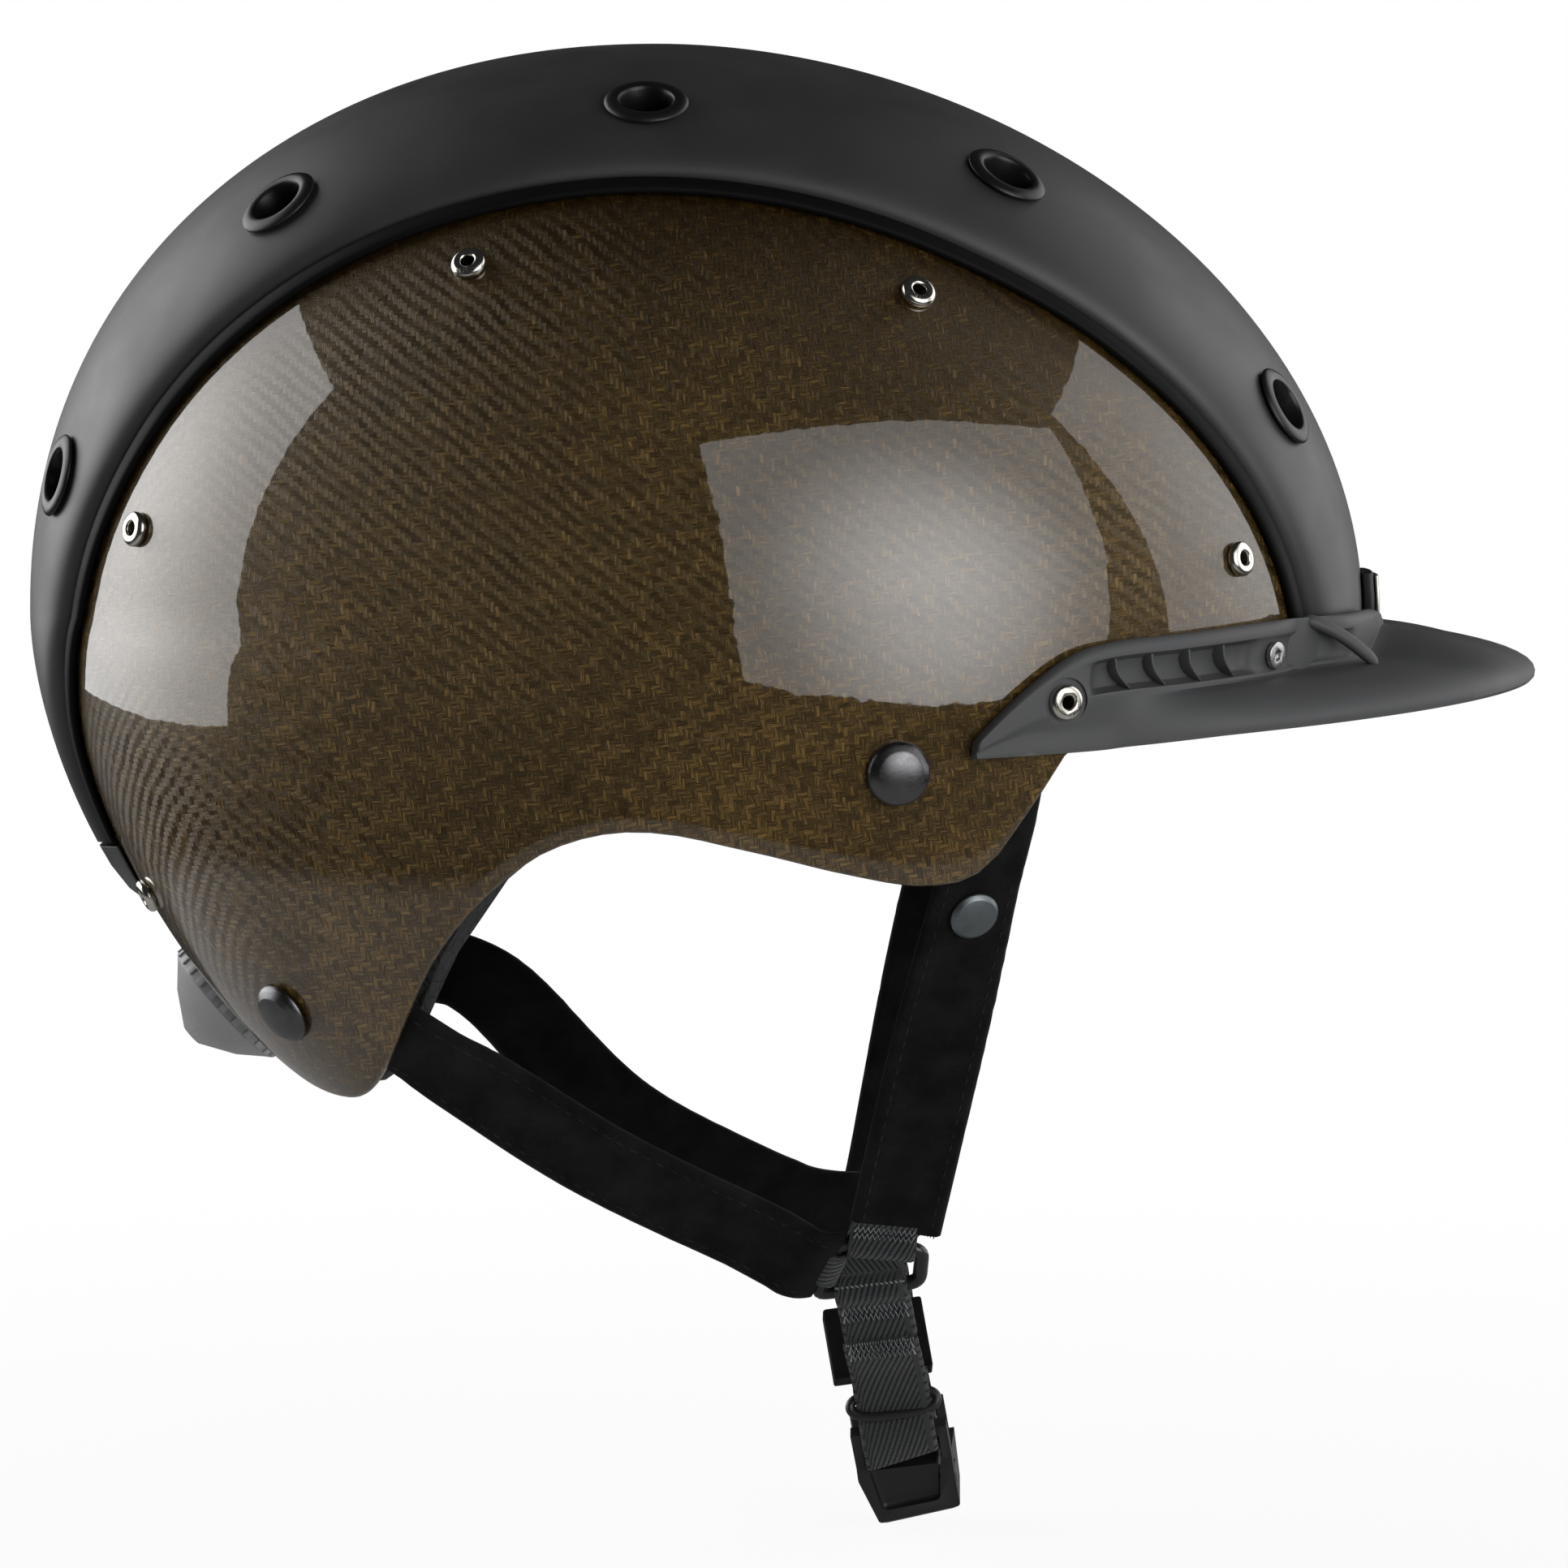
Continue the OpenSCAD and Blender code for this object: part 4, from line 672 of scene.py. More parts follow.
# Round one section: up the inner face, down the outer one with its recess, out over the brim and back
def peakSection(az):
    a = abs(az)
    top, low, rise = curveAt(a, peak["top"]), curveAt(a, peak["low"]), ease((16 - a) / 10)
    hi, lo = recessHigh(a)
    step, lip = min(0.6, (hi - lo) / 3), min(1.2, (top - hi) / 2)
    inner, outer = armIn(a), armOut(a)
    sunk = outer - recessDip(a)
    root = onArm(az, mix(low, lo, mix(0.9, 0.98, rise)), outer)
    edge = brimEdge(az) if a < peak["brimEnd"] else onArm(az, low + 0.3, outer - 0.6)
    thick = min(peak["brimT"], 0.7 * (root.z - edge.z))
    brim = ease((peak["brimEnd"] + 2 - a) / 14)
    up = Vector((0, 0, 1))
    out = Vector((edge.x - shell["crownX"], edge.y, 0)).normalized() * brim
    shoulder = edge + thick * up - 1.2 * out
    heel = onArm(az, low, inner)
    arm = [(mix(low, top, 0.5), inner), (top - lip, inner), (top, mix(inner, outer, 0.35)),
           (top, mix(inner, outer, 0.65)), (top - lip, outer), (mix(hi, top, 0.1), outer), (hi, outer),
           (hi - step, sunk), (mix(lo, hi, 0.5), sunk), (lo + step, sunk), (lo, outer), (lo - 0.1 * step, outer)]
    over, under = [[start.lerp(end, t) + bow * brim * up for t, bow in bows] for start, end, bows in (
        (root, shoulder, peak["over"]), (edge, heel, peak["under"]))]
    return [heel, *[onArm(az, z, o) for z, o in arm], root, *over, shoulder, edge + thick / 2 * up,
            edge - 0.8 * out, *under]


# Sections stand close together where the boss and the tails turn
def peakBody():
    half = [0.75 * k for k in range(26)] + [36.5 + k for k in range(16)]
    half += [19.7, 20.3, 21.5, 23, 24.5, 26, 26.2, 26.7, 27, 28.5, 30, 31.5, 33, 33.6, 34, 35.2]
    half += [52.7, 53.3, 54.4, 55.6, 56.8, 58, 59.2, 60.4, 61.6, 62.4, 63, 63.5, peak["tail"]]
    half = sorted(set(half))
    sections = [peakSection(az) for az in [-a for a in reversed(half[1:])] + half]
    count, last = len(sections[0]), len(sections) - 1

    def place(u, v):
        return sections[round(v * last)][round(u * count) % count]

    piece = tubePiece("peak", count, last, place)
    withModifier(piece, "SUBSURF", levels=1, render_levels=1)
    for side in (-1, 1):
        floorUp = peak["armWall"] - peak["sink"] + 4
        cutBy(piece, drill(side * peakRivetAt[0], peakRivetAt[1], floorUp, peak["sinkRadius"], 8, 64))
    bored(piece, [peakRivetAt, peakScrewAt], holes["rivet"], 24)
    smooth(piece, 32)
    return piece


# Thin curved rib across the recess, its edge just under the arm's face
def recessRib(side, ribAz):
    def place(u, v):
        a = ribAz - 1.0 + 1.7 * v + 0.5 * sin(pi * v)
        hi, lo = recessHigh(a)
        turn, half = 2 * pi * u, peak["deep"] / 2
        out = armOut(a) - half - 0.3 + (half + 0.2) * signedPower(cos(turn), 0.5)
        return onArm(side * (a + 0.12 * signedPower(sin(turn), 0.5)), mix(lo + 0.2, hi - 0.2, v), out)

    return tubePiece("rib", 12, 14, place)


# Raised strut between the collar and the arm
def peakStrut(side):
    start, end = onArm(*peak["strut"][0]), Vector(peak["strut"][1])
    middle = start.lerp(end, 0.42) + Vector(peak["strutBow"])

    def place(u, v):
        point = start.lerp(middle, v).lerp(middle.lerp(end, v), v)
        way = (middle.lerp(end, v) - start.lerp(middle, v)).normalized()
        across = way.cross(Vector((0.25, 0.35, 1)).normalized()).normalized()
        turn, fat = 2 * pi * u, 1.7 * (1 - 0.6 * (2 * v - 1) ** 8)
        point = point + across * fat * cos(turn) + across.cross(way) * 1.35 * sin(turn) * (1 - (2 * v - 1) ** 10)
        return Vector((point.x, side * point.y, point.z))

    return tubePiece("strut", 16, 20, place)


peakParts = [peakBody()]
for side in (-1, 1):
    peakParts += [recessRib(side, a) for a in peak["ribs"]] + [peakStrut(side)]
peakPiece = joined("peak", peakParts)
smooth(peakPiece, 32)
dress(peakPiece, "peak", "helmet", "peak")
copied("peak_rivets", "nickel", 0.18, 3, 25)
copied("peak_screws", "steel", 0.2, 3, 25)
copied("badge_holder", "black_plastic", 0.6, 4, 25, slot="badge")
copied("badge_plate", "badge", 0.25, 3, 25)
print("peak made")

# Foam blocks inside the shell
for block in ("foam_crown", "foam_front", "foam_back", "foam_right", "foam_left"):
    copied(block, "foam", 0.5, 2, 45, name=block.replace("_", "") + "Foam")
print("foam blocks made")

# Comfort pads, blown up as cloth from their slightly smaller solids
pads = {"voxel": 2.25, "pressure": 4.0, "frames": 20, "most": 5.0, "shrink": 0.5}


def stuffed(source, body="helmet"):
    piece = softCopy(source, 0)
    withModifier(piece, "REMESH", mode="VOXEL", voxel_size=pads["voxel"] * mm)
    before = [v.co - v.normal * pads["shrink"] * mm for v in piece.data.vertices]
    for v, point in zip(piece.data.vertices, before):
        v.co = point
    only(piece)
    cloth = piece.modifiers.new("cloth", "CLOTH")
    cloth.settings.use_pressure = True
    cloth.settings.uniform_pressure_force = pads["pressure"]
    cloth.settings.effector_weights.gravity = 0
    cloth.settings.quality = 5
    cloth.point_cache.frame_start, cloth.point_cache.frame_end = 1, pads["frames"]
    for step in range(1, pads["frames"] + 1):
        bpy.context.scene.frame_set(step)
    bpy.ops.object.modifier_apply(modifier=cloth.name)
    bpy.context.scene.frame_set(1)
    for v, point in zip(piece.data.vertices, before):
        moved = v.co - point
        if moved.length > pads["most"] * mm:
            v.co = point + moved.normalized() * pads["most"] * mm
    withModifier(piece, "SUBSURF", levels=1, render_levels=1)
    smooth(piece, 60)
    dress(piece, "lining", body, source)


for pad in ("brow_pad", "crown_pad", "top_pads", "side_pads"):
    stuffed(pad)
stuffed("nape_pad", "nape")
print("pads made")

# Fit system at the nape
copied("arm_brackets", "black_plastic", 0.4)
copied("arm_pins", "steel", 0.3)
copied("fit_arm_right", "black_plastic", 0.15, body="arm_right")
copied("fit_arm_left", "black_plastic", 0.15, body="arm_left")
copied("nape_housing", "dark_plastic", 0.8, 3, body="nape")
copied("nape_cover", "dark_plastic", 0.7, 3, body="nape")
copied("fit_pinion", "steel", 0.1, body="dial")
copied("fit_knob", "knob", 0.22, 2, 28, body="dial")
print("fit system made")


# Frames of the junction ring and of a chin half, in millimetres
def turned(angle, axis):
    return Matrix.Rotation(radians(angle), 4, axis)


def wayOf(matrix, x, y, z):
    return (matrix.to_3x3() @ Vector((x, y, z))).normalized()


ring = {"at": Vector((34, -38, -85)), "tilt": 35, "rod": 3, "bend": 2.2, "barShare": 0.535,
        "a": Vector((-5, 0, 5.5)), "b": Vector((11.5, 0, 3.5)), "c": Vector((11, 0, -5)),
        "d": Vector((-9.8, 0, -8.3))}
inRing = Matrix.Translation(ring["at"]) @ turned(ring["tilt"], "X")
ringOut = turned(ring["tilt"], "X") @ Vector((0, -1, 0))
barLean = degrees(atan2(ring["c"].z - ring["d"].z, ring["c"].x - ring["d"].x))
inChin = (inRing @ Matrix.Translation(ring["d"].lerp(ring["c"], ring["barShare"])) @ turned(-barLean, "Y")
          @ turned(-5, "X"))


def mirrored(piece):
    for v in piece.data.vertices:
        v.co.y = -v.co.y
    edited(piece, (bpy.ops.mesh.flip_normals, {}))


# Pieces are made for the right side (-1) and mirrored for the left one (1)
def onSide(side, piece, finish, body, *nodes, slot=None):
    if side > 0:
        mirrored(piece)
    dress(piece, finish, body, *nodes, slot=slot)


# Flat band of cloth along a path of points: each point has its way across and its way out,
# its edges rounded, with a map in millimetres across and along
def ribbon(name, points, across, outs, width, thick, fray=0.0):
    lengths = [0.0]
    for p, q in zip(points, points[1:]):
        lengths.append(lengths[-1] + (q - p).length)
    last = len(points) - 1
    corner = min(thick / 2, 0.9)
    spread = [mix(-1, 1, i / 8) for i in range(9)]
    outline = ([(x, 1) for x in spread] + [(1, 0.45), (1, -0.45)] + [(-x, -1) for x in spread]
               + [(-1, -0.45), (-1, 0.45)])
    count = len(outline)

    def place(u, v):
        j, i = round(v * last), round(u * count) % count
        x, y = outline[i]
        half = width / 2 - (corner if abs(y) == 1 and abs(x) == 1 else 0)
        wander = noise.noise((lengths[j] * 0.45, x * 3.0, 4.0)) * fray if abs(x) == 1 else 0
        return points[j] + across[j] * (x * half + wander) + outs[j] * (y * (thick / 2))

    def uvOf(u, v):
        j, i = round(v * last), round(u * count)
        return (outline[i % count][0] * width / 2 + (width if count / 2 < i < count else 0), lengths[j])

    piece = tubePiece(name, count, last, place, uvOf)
    smooth(piece, 60)
    return piece


# Round rod or thread along points
def rodAlong(name, points, radius, closed=False, around=10, flat=1.0):
    count = len(points)
    last = count - (0 if closed else 1)

    def place(u, v):
        j = round(v * last)
        p = points[j % count]
        q = points[(j + 1) % count] if closed or j < count - 1 else p
        o = points[(j - 1) % count] if closed or j > 0 else p
        way = (q - o).normalized()
        side = way.cross(Vector((0.31, 0.9, 0.3))).normalized()
        turn = 2 * pi * u
        return p + side * radius * cos(turn) + way.cross(side) * radius * flat * sin(turn)

    piece = tubePiece(name, around, last, place, ends=not closed)
    smooth(piece, 70)
    return piece


# Small thread stitch, lying along Y with +Z out of the cloth
def stitchForm(length, radius):
    nothing()
    bpy.ops.mesh.primitive_uv_sphere_add(segments=8, ring_count=5, radius=1)
    form = bpy.context.object
    for v in form.data.vertices:
        v.co = Vector((v.co.x * radius, v.co.z * length / 2, v.co.y * radius)) * mm
    return form


# Suede straps: route over places under the shell, then free down to the ring
suede = {"width": 18.5, "thick": 2.4, "fray": 0.12, "frontInset": 5.4, "rearInset": 5.6,
         "frontUnder": [(58.6, -8), (59, -13), (59.3, -19.5), (59.6, -26)],
         "rearUnder": [(143.6, -34.4), (137.5, -37.8), (127, -39.9), (121, -41.3)],
         "frontFree": [(47.2, -66, -41.6)], "rearFree": [(-43.8, -71, -44.7), (-17.2, -56.5, -63.2)],
         "rearBow": [(0, -1.5, 3.5), (0, 0, -2.4)], "frontEnd": (6, 0, 9.4), "rearEnd": (-15.4, 0, 3),
         "tabAz": (77, 57), "tabLat": (-9.5, -20), "tabSnap": -14.75, "tabThick": 1.8,
         "rearOver": {"Right": (8.4, 2.4), "Left": (16.5, -2.6)},
         "frontOver": {"Right": (0, 0), "Left": (12, -2.6)},
         "rearFlat": (0.95, 0.2, 0.12), "frontFlat": None, "endSkew": -0.22,
         "stitch": (2.0, 0.24), "stitchPitch": 3.4, "stitchInset": 2.3, "frontSewn": 38, "rearSewn": 30}


# Keys of a route and the ways out at them, under the shell and then free
def routeOf(name, free, step):
    under = suede[name + "Under"]
    keys = [(i, overSkin(-az, lat, -suede[name + "Inset"])) for i, (az, lat) in enumerate(under)]
    keys += [(3 + (i + 1) * step, Vector(p)) for i, p in enumerate(free)]
    last = 3 + (len(free) + 1) * step
    keys.append((last, inRing @ Vector(suede[name + "End"])))
    turns = [(i, skinNormal(-az, lat)) for i, (az, lat) in enumerate(under)]
    turns += [(mix(3, last, 0.5), ringOut.copy()), (last, ringOut.copy())]
    return keys, turns


# A strap may run on past its last key by some millimetres, lifted and turned towards a flatter way
def alongRoute(keys, turns, steps, more, lift, flat):
    last = keys[-1][0]
    points, across, outs = [], [], []
    for i in range(steps + 1):
        s = last * i / steps
        ahead, behind = min(last, s + last / steps / 2), max(0, s - last / steps / 2)
        way = (curveAt(ahead, keys) - curveAt(behind, keys)).normalized()
        side = curveAt(s, turns).cross(way).normalized()
        points.append(curveAt(s, keys))
        across.append(side)
        outs.append(way.cross(side).normalized())
    if more:
        way = (points[-1] - points[-2]).normalized()
        for k in range(1, 9):
            points.append(points[-1] + way.lerp(Vector(flat or way), k / 8).normalized() * more / 8)
            across.append(across[-1])
            outs.append(outs[-1])
    for i in range(len(points)):
        if more and flat:
            across[i] = across[i] + way * suede["endSkew"] * ease((i - len(points) + 15) / 14)
        points[i] = points[i] + outs[i] * lift * ease((i - len(points) + 13) / 9)
    return points, across, outs


def strapStitches(name, points, across, outs, form, first):
    places = []
    travelled, wanted = 0.0, first
    for i in range(len(points) - 2):
        p, q = points[i], points[i + 1]
        length = (q - p).length
        while wanted < travelled + length:
            t = (wanted - travelled) / length
            way = (q - p).normalized()
            out, side = outs[i].lerp(outs[i + 1], t).normalized(), across[i].lerp(across[i + 1], t).normalized()
            for edge in (-1, 1):
                at = (p.lerp(q, t) + side * edge * (suede["width"] / 2 - suede["stitchInset"])
                      + out * (suede["thick"] / 2))
                place = Matrix((side, way, out)).transposed().to_4x4()
                place.translation = at * mm
                places.append(place)
            wanted += suede["stitchPitch"]
        travelled += length
    return scattered(name, form, places)


# Tongue of suede under the snap, narrowing to nothing at its start
def snapTab(name):
    def place(u, v):
        x, y = [max(-1, min(1, 1.35 * c)) for c in (cos(2 * pi * u), sin(2 * pi * u))]
        lat = mix(*suede["tabLat"], (x + 1) / 2)
        near = min(1, (v * 6) ** 0.5 if v < 1 / 6 else 1)
        return overSkin(-mix(*suede["tabAz"], v), mix(suede["tabSnap"], lat, near),
                        y * suede["tabThick"] / 2 - suede["frontInset"])

    return tubePiece(name, 24, 14, place)


# Both edges of a strap's cut end as a row of loose threads, their pale colour a painted highlight where the cut
# end catches the light
def cutEnd(name, point, across, out, way, width, thick, seed, pitch=0.55):
    parts = []
    for k in range(int(width / pitch)):
        x = -width / 2 + 0.3 + k * pitch
        sway = noise.noise((x, seed, 0.3))
        start = point + across * x - way * 0.5 + out * (0.3 * thick)
        tip = start + way * (0.9 + 0.5 * sway) + across * 0.3 * sway + out * 0.15
        parts.append(rodAlong("fray", [start, start.lerp(tip, 0.6) + out * 0.12, tip], 0.13, around=5))
    return joined(name, parts)


def strapSet(side, label):
    rearFree = suede["rearFree"]
    if side > 0:
        rearFree = [tuple(a + b for a, b in zip(p, q)) for p, q in zip(rearFree, suede["rearBow"])]
    stitch = stitchForm(*suede["stitch"])
    for name, free, step, steps in (("front", suede["frontFree"], 2.5, 60), ("rear", rearFree, 2, 64)):
        points, across, outs = alongRoute(*routeOf(name, free, step), steps, *suede[name + "Over"][label],
                                          suede[name + "Flat"])
        parts = [ribbon(name + "Strap", points, across, outs, suede["width"], suede["thick"], suede["fray"])]
        if name == "front":
            parts.append(snapTab("tab"))
        strap = joined(name + "Strap" + label, parts)
        smooth(strap, 60)
        sewn = strapStitches(name + "Stitches" + label, points, across, outs, stitch, suede[name + "Sewn"])
        onSide(side, strap, "suede", "helmet", name + "_strap_" + label.lower())
        onSide(side, sewn, "thread", "helmet", slot="suede")
        if name == "front":
            fringe = cutEnd("frontFringe" + label, points[-1], across[-1], outs[-1],
                            (points[-1] - points[-2]).normalized(), suede["width"] - 1.5, suede["thick"], 1.7)
            onSide(side, fringe, "fringe", "helmet", slot="suede")
    bpy.data.objects.remove(stitch)
    copied("strap_stud_" + label.lower(), "stud", 0.2, 3, 18)


strapSet(-1, "Right")
strapSet(1, "Left")
print("straps made")


# Junction ring bent from one rod, its corners rounded
def junctionRing(side, label):
    corners, bend = [ring[key] for key in "abcd"], ring["bend"]
    points = []
    for i in range(4):
        before, corner, after = corners[i - 1], corners[i], corners[(i + 1) % 4]
        start = corner + (before - corner).normalized() * bend
        end = corner + (after - corner).normalized() * bend
        for k in range(7):
            t = k / 6
            points.append(inRing @ (start.lerp(corner, t).lerp(corner.lerp(end, t), t)))
        nextStart = after + (corner - after).normalized() * bend
        for k in (1, 2, 3):
            points.append(inRing @ (end.lerp(nextStart, k / 4)))
    piece = rodAlong("junctionRing" + label, points, ring["rod"] / 2, closed=True, around=20)
    onSide(side, piece, "ring", "helmet", "junction_ring_" + label.lower())


# Zigzag sewing across a ribbon: from one point to another, its peaks along a way
def zigzag(start, end, along, count, high, radius, out):
    points = []
    for k in range(count + 1):
        p = start.lerp(end, k / count) + along * high * (0.5 if k % 2 else -0.5)
        points.append(p + out * (0.1 if k % 2 else 0.16))
    return rodAlong("seam", points, radius, around=6)


# Chin webbing: a sewn fold round the ring's bar, then the strap down to the buckle's bar
chin = {"width": 15.3, "foldWidth": 14.8, "thick": 1.5, "length": 37.7, "barHigh": 2.4, "frame": 3, "skew": 0.24,
        "skewFrom": -24, "slack": 3.6, "seams": [(-4.0, -2.0), (-6.0, -1.86), (-13.2, -3.08), (-15.2, -2.72)],
        "seamHalf": 6.6, "whipTurns": 14, "whipHalf": 7, "whipSwing": 0.16, "whipThread": 0.26}
loops = {"thick": 1.2, "front": 13.6, "rear": 8.6, "seams": [(3.9, 1.6), (5.4, 1.36)]}


# Ribbon folded along a path of places out and up in a frame, leaning across below skewFrom
def foldedRibbon(name, matrix, path, steps, width, thick, fray, facing, skewFrom=None):
    keys = [(i, Vector((0, y, z))) for i, (y, z) in enumerate(path)]
    local = [curveAt((len(path) - 1) * i / steps, keys) for i in range(steps + 1)]
    points = [matrix @ v for v in local]
    acrossWay, upWay = wayOf(matrix, 1, 0, 0), wayOf(matrix, 0, 0, 1)
    across, outs = [], []
    for i, v in enumerate(local):
        lean = ease((skewFrom - v.z) / 12) if skewFrom is not None else 0
        way = (points[min(i + 1, steps)] - points[max(i - 1, 0)]).normalized()
        across.append(acrossWay + upWay * chin["skew"] * lean)
        outs.append(way.cross(acrossWay).normalized() * facing)
    return ribbon(name, points, across, outs, width, thick, fray), points[0]


def ringLoop(p, q, share, width, end, more):
    bar = (q - p).normalized()
    centre = p.lerp(q, share)
    matrix = inRing @ (Matrix.Translation(centre) @ turned(-degrees(atan2(bar.z, bar.x)), "Y"))
    reach = (end - centre).cross(bar).length + more
    up = 1 if bar.cross(end - centre).y < 0 else -1
    r = ring["rod"] / 2 + 0.05 + loops["thick"] / 2
    half = [(-0.66, reach), (-0.68, reach * 0.6), (-0.8, 3.9), (-1.45, 2.3), (-r, 0.5), (-r * 0.86, -r * 0.5),
            (-r * 0.5, -r * 0.86), (0, -r)]
    path = [(y, z * up) for y, z in half + [(-y, z) for y, z in reversed(half[:-1])]]
    loop, _ = foldedRibbon("loop", matrix, path, 42, width, loops["thick"], 0.18, up)
    outWay, upWay = wayOf(matrix, 0, -1, 0), wayOf(matrix, 0, 0, up)
    seams = []
    for level, face in loops["seams"]:
        if level < reach:
            a, b = [matrix @ Vector((x, -face, level * up)) for x in (-width / 2 + 0.8, width / 2 - 0.8)]
            seams.append(zigzag(a, b, upWay, int(width * 1.7), 1.3, 0.22, outWay))
    return loop, seams


def ringLoops(side, label):
    front = ringLoop(ring["a"], ring["b"], 0.5, loops["front"], Vector(suede["frontEnd"]), 1.6)
    rear = ringLoop(ring["a"], ring["d"], 0.43, loops["rear"], Vector(suede["rearEnd"]), 1.2)
    piece = joined("ringLoops" + label, [front[0], rear[0]])
    seams = joined("loopSeams" + label, front[1] + rear[1])
    onSide(side, piece, "webbing", "helmet", "ring_loops_" + label.lower())
    onSide(side, seams, "seam", "helmet", slot="webbing")


for side, label in ((-1, "Right"), (1, "Left")):
    junctionRing(side, label)
    ringLoops(side, label)
print("rings and loops made")


def chinWebbing(side, label):
    body, thick, bar = "chin_" + label.lower(), chin["thick"], -chin["length"]
    r = ring["rod"] / 2 + 0.05 + thick / 2
    fold = [(0.85, -13.2), (0.85, -9), (0.9, -5.2), (1.5, -2.6), (r, -0.3), (r * 0.7, r * 0.72), (0, r),
            (-r * 0.7, r * 0.72), (-r, -0.3), (-1.5, -2.6), (-0.9, -5.2), (-0.85, -9), (-0.85, -12.6)]
    b = chin["frame"] / 2 + 0.3 + thick / 2
    low = chin["barHigh"] / 2 + 0.3 + thick / 2 + chin["slack"]
    main = [(-2.25, -12.2), (-2.0, -14.2), (-1.0, -17.6), (-0.1, -21.5), (0, -26), (-0.3, -30.5),
            (-1.7, bar + 4.6), (-b, bar + 1.5), (-b, bar - low * 0.5), (-b * 0.7, bar - low + 0.4), (0, bar - low),
            (b * 0.7, bar - low + 0.4), (b, bar - low * 0.5), (b, bar + 1.8), (1.7, bar + 5.2), (1.62, bar + 8.5)]
    foldPiece, _ = foldedRibbon("fold", inChin, fold, 6 * (len(fold) - 1), chin["foldWidth"], thick, 0.16, -1)
    mainPiece, cutAt = foldedRibbon("main", inChin, main, 6 * (len(main) - 1), chin["width"], thick, 0.16, -1,
                                    chin["skewFrom"])
    piece = joined("chinWebbing" + label, [foldPiece, mainPiece])
    smooth(piece, 60)
    acrossWay, outWay, upWay = wayOf(inChin, 1, 0, 0), wayOf(inChin, 0, -1, 0), wayOf(inChin, 0, 0, 1)
    seams = []
    for z, face in chin["seams"]:
        a, e = [inChin @ Vector((x, face, z)) for x in (-chin["seamHalf"], chin["seamHalf"])]
        seams.append(zigzag(a, e, upWay, 26, 1.7, 0.24, outWay))
    cord, wide, swing = [], chin["whipHalf"], chin["whipSwing"]
    for k in range(41):
        turn = chin["whipTurns"] * 2 * pi * (k / 40)
        cord.append(inChin @ Vector((mix(-wide, wide, k / 40), -r * 0.62 - thick / 2 * 0.7 + swing * cos(turn),
                                     r * 0.62 + thick / 2 * 0.8 + swing * sin(turn))))
    whip = rodAlong("whip" + label, cord, chin["whipThread"], around=7)
    fringe = cutEnd("webbingFringe" + label, cutAt, acrossWay, outWay, upWay, 14.6, thick, 5.1)
    seamPiece = joined("chinSeams" + label, seams)
    pale = joined("whip" + label, [whip, fringe])
    onSide(side, piece, "webbing", body, "chin_webbing_" + label.lower())
    onSide(side, seamPiece, "seam", body, slot="webbing")
    onSide(side, pale, "fringe", body, slot="webbing")


chinWebbing(-1, "Right")
chinWebbing(1, "Left")


# Oval keeper round the right webbing, lower in front than behind
def keeperLoop():
    keeper = {"halfX": 8.95, "halfY": 1.72, "middle": -30.2, "drop": 1.75, "rod": 0.98}
    points = []
    for k in range(48):
        turn = 2 * pi * k / 48
        x = keeper["halfX"] * signedPower(cos(turn), 0.55)
        y = keeper["halfY"] * signedPower(sin(turn), 0.9)
        points.append(inChin @ Vector((x, y, keeper["middle"] + keeper["drop"] * sin(turn))))
    piece = rodAlong("keeperLoop", points, keeper["rod"], closed=True, around=14, flat=1.1)
    dress(piece, "black_plastic", "keeper", "keeper_loop")


keeperLoop()
copied("chin_cover_left", "suede", 2.2, 5, body="chin_left")

# Buckle halves: each cut has its upper and lower half width, front and back, top and foot; the
# opening comes first and then the hollow in the face, and the foot leans up to one side
buckle = {"cuts": [(7.75, 7.6, -5, 3.4, -2.6, -8.7), (7.5, 6.1, -5, -0.9, -6.4, -18.6)], "cutRound": 1.2,
          "lean": 2.4, "leanFrom": 7, "leanOver": 16, "halfWidth": 9, "round": 0.8}


def buckleHalf(source, body, side):
    piece = softCopy(source, 0)
    shape = inChin if side < 0 else Matrix.Scale(-1, 4, (0, 1, 0)) @ inChin
    for wideTop, wideLow, front, behind, top, foot in buckle["cuts"]:
        nothing()
        bpy.ops.mesh.primitive_cube_add(size=1)
        tool = bpy.context.object
        for v in tool.data.vertices:
            upper = v.co.z > 0
            v.co = (shape @ Vector((v.co.x * 2 * (wideTop if upper else wideLow), front if v.co.y < 0 else behind,
                                    (top if upper else foot) - chin["length"]))) * mm
        weld(tool, 0.0000001)
        rounded(tool, buckle["cutRound"], 3, 35)
        cutBy(piece, tool)
    back, wide = shape.inverted(), buckle["halfWidth"]
    for v in piece.data.vertices:
        local = back @ (v.co / mm)
        share = ease((-local.z - chin["length"] - buckle["leanFrom"]) / buckle["leanOver"])
        v.co = (shape @ (local + Vector((0, 0, buckle["lean"] * share * (local.x + wide) / (2 * wide))))) * mm
    rounded(piece, buckle["round"], 3, 35)
    smooth(piece, 35)
    dress(piece, "buckle", body, source)


buckleHalf("buckle_socket", "chin_right", -1)
buckleHalf("buckle_tongue", "chin_left", 1)
copied("socket_magnet", "nickel", 0.1, body="chin_right")
copied("tongue_magnet", "nickel", 0.1, body="chin_left")
copied("release_button", "dark_plastic", 0.3, 3, body="button")


# Coil spring behind the button
def buttonSpring():
    spring = {"y": 0.7, "z": -50.3, "start": 2.72, "end": 4.18, "radius": 1.1, "wire": 0.16, "turns": 5}
    points = []
    for k in range(81):
        turn = spring["turns"] * 2 * pi * (k / 80)
        points.append(inChin @ Vector((mix(spring["start"], spring["end"], k / 80),
                                       spring["y"] + spring["radius"] * cos(turn),
                                       spring["z"] + spring["radius"] * sin(turn))))
    piece = rodAlong("buttonSpring", points, spring["wire"], around=8)
    dress(piece, "steel", "button", "button_spring")


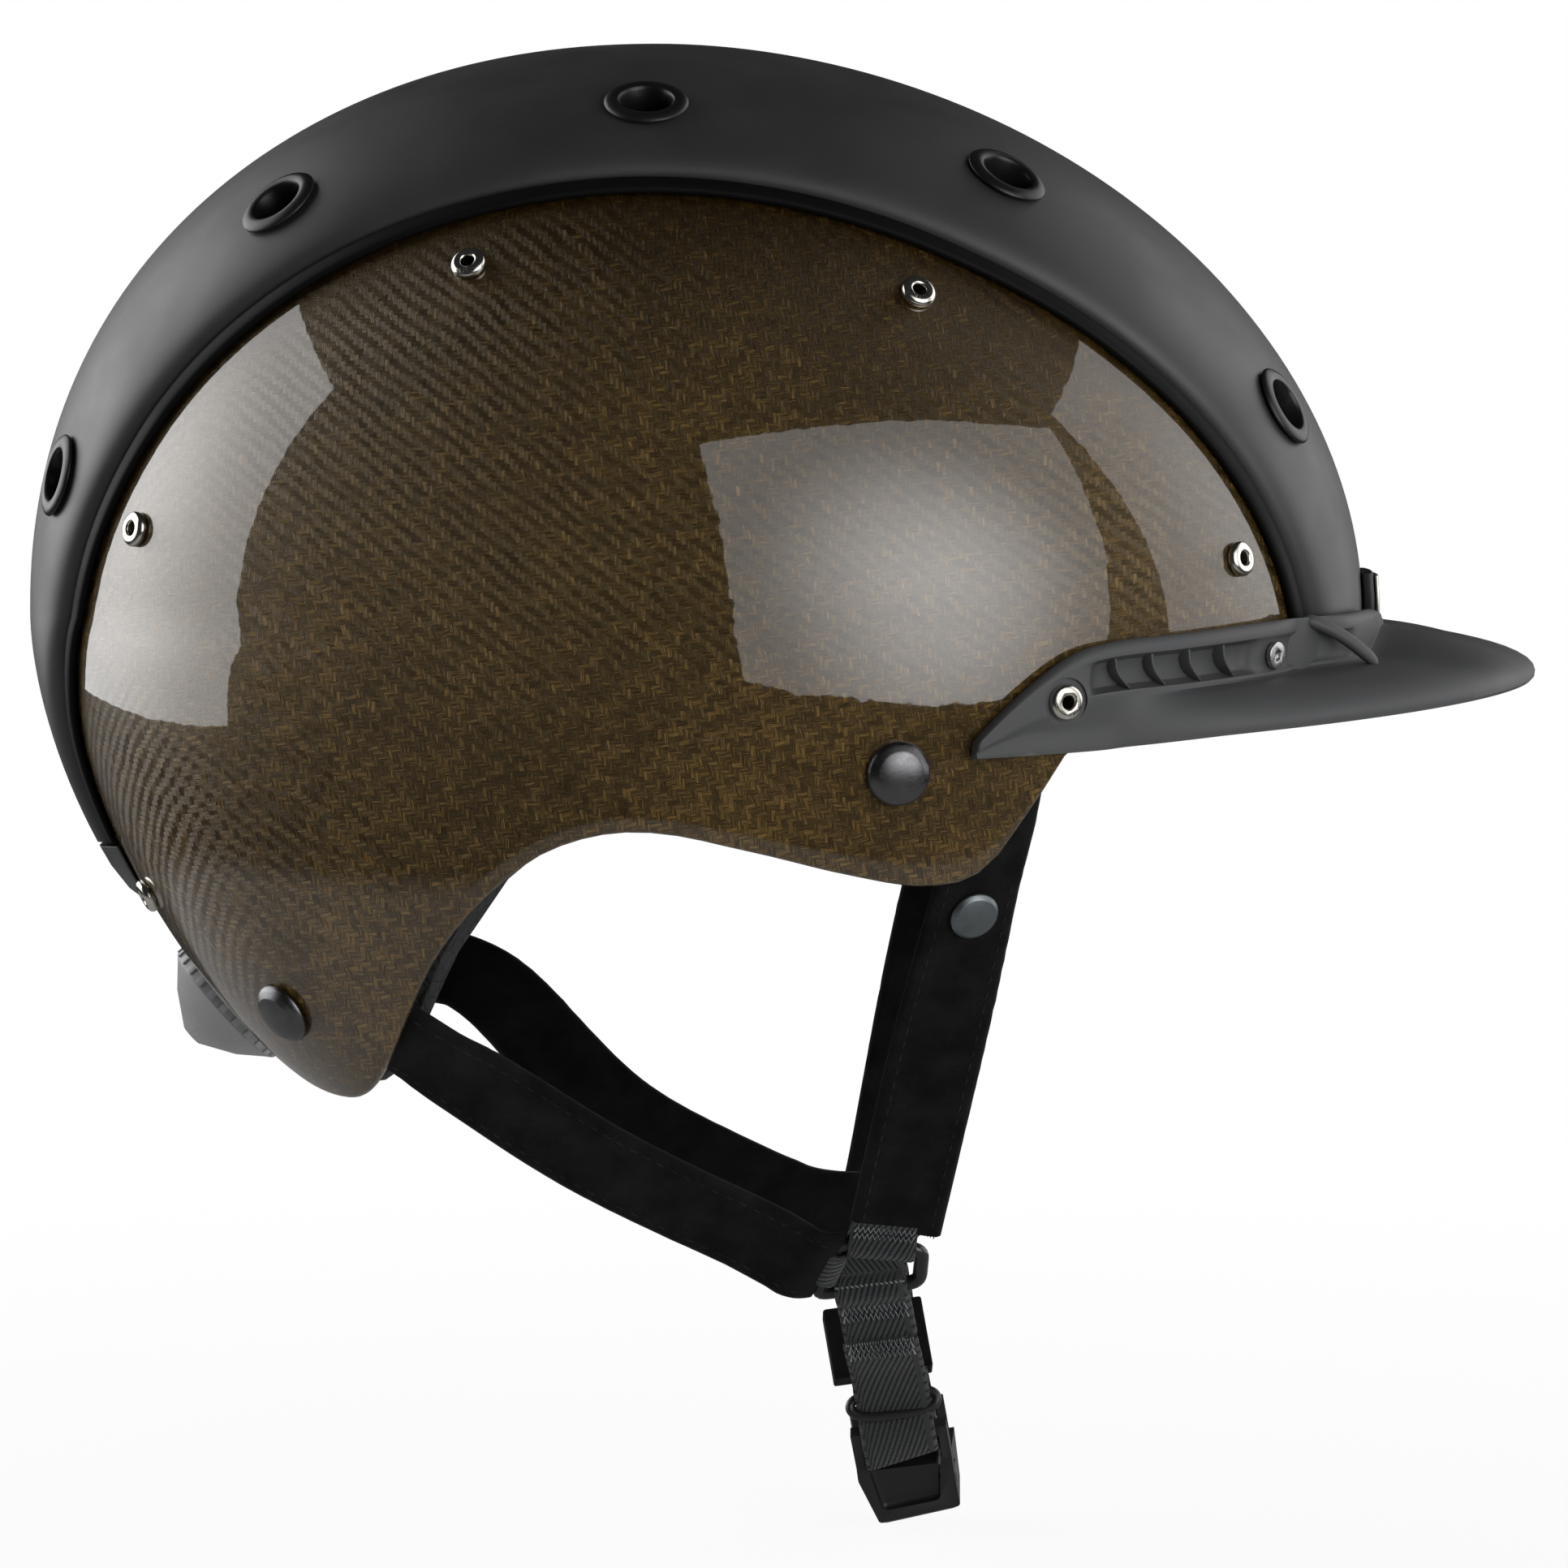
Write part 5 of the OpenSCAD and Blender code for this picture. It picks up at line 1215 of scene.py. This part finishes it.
buttonSpring()
print("chin straps and buckle made")

# Stage and lamps
# gleam: the floor's light in mirrorlike surfaces, near the helmet and farther than the shine's distances
stage = {"floor": 6, "gleam": (0.3, 0.03), "shine": (0.4, 0.46), "lamps": [
    # name, direction round from the camera, height angle, distance, width, height, power, glow in its middle
    ("window", 38, 9, 1.25, 1.36, 1.45, 7.5, 2.6),
    ("left", -110, 16, 1.3, 1.8, 1.45, 18, 0.9),
    ("right", 113, 16, 1.3, 1.8, 1.45, 10, 0.6)]}
nothing()
bpy.ops.mesh.primitive_plane_add(size=stage["floor"], location=(0, 0, cadBox[0][2] - 0.0005))
floor = bpy.context.object
floor.name = "floor"
edited(floor, (bpy.ops.mesh.subdivide, {"number_cuts": 3}))


# Mirrored rays, and the rays that see the backdrop itself
def raysOf():
    ray = node("LightPath", out=None).outputs
    return ray["Is Glossy Ray"], maths("MAXIMUM", ray["Is Camera Ray"], ray["Is Transmission Ray"])


def paleBackdrop():
    material = bpy.data.materials.new("paleFloor")
    openTree(material, True)
    glossy, seen = raysOf()
    pale = node("BsdfDiffuse", {"Color": (0.9, 0.9, 0.9, 1)})
    away = node("VectorMath", {0: node("TexCoord", out="Object")}, "Value", operation="LENGTH")
    near, far = [1 - gleam for gleam in stage["gleam"]]
    shine = times(glossy, ramp(away, *stage["shine"], near, far))
    glow = node("Emission", {"Color": (1, 1, 1, 1), "Strength": maths("SUBTRACT", 1.0, shine)})
    amount = times(seen, ramp(away, 0.15, 0.6, 0.92, 1.0))
    mixed = node("MixShader", {0: maths("MAXIMUM", amount, glossy), 1: pale, 2: glow})
    node("OutputMaterial", {0: mixed}, None)
    return material


floor.data.materials.append(paleBackdrop())
for name, round_, height, distance, wide, high, power, glow in stage["lamps"]:
    a, e = radians(round_), radians(height)
    way = Vector((sin(a) * cos(e), -cos(a) * cos(e), sin(e)))
    bpy.ops.object.light_add(type="AREA", location=way * distance + Vector((0, 0, 0.03)),
                             rotation=way.to_track_quat("Z", "Y").to_euler())
    lamp = bpy.context.object
    lamp.name = name
    lamp.data.shape = "RECTANGLE"
    lamp.data.size, lamp.data.size_y = wide, high
    lamp.data.energy = power
    openTree(lamp.data)
    fromMiddle = node("VectorMath", {0: node("NewGeometry", out="Parametric"), 1: (0.5, 0.5, 0)},
                      "Value", operation="DISTANCE")
    feed(lamp.data.node_tree.nodes["Emission"], "Strength", node("MapRange", {
        "Value": fromMiddle, "From Max": 0.5, "To Min": 1 + glow, "To Max": 1}, interpolation_type="SMOOTHSTEP"))
world = bpy.context.scene.world or bpy.data.worlds.new("studio")
bpy.context.scene.world = world
openTree(world, True)
glossy, seen = raysOf()
dim = node("Background", {"Color": (0.9, 0.95, 1, 1), "Strength": ramp(glossy, 0, 1, 0.05, 0.02)})
white = node("Background", {"Color": (1, 1, 1, 1), "Strength": 1.0})
node("OutputWorld", {0: node("MixShader", {0: seen, 1: dim, 2: white})}, None)
print("stage and lamps set")
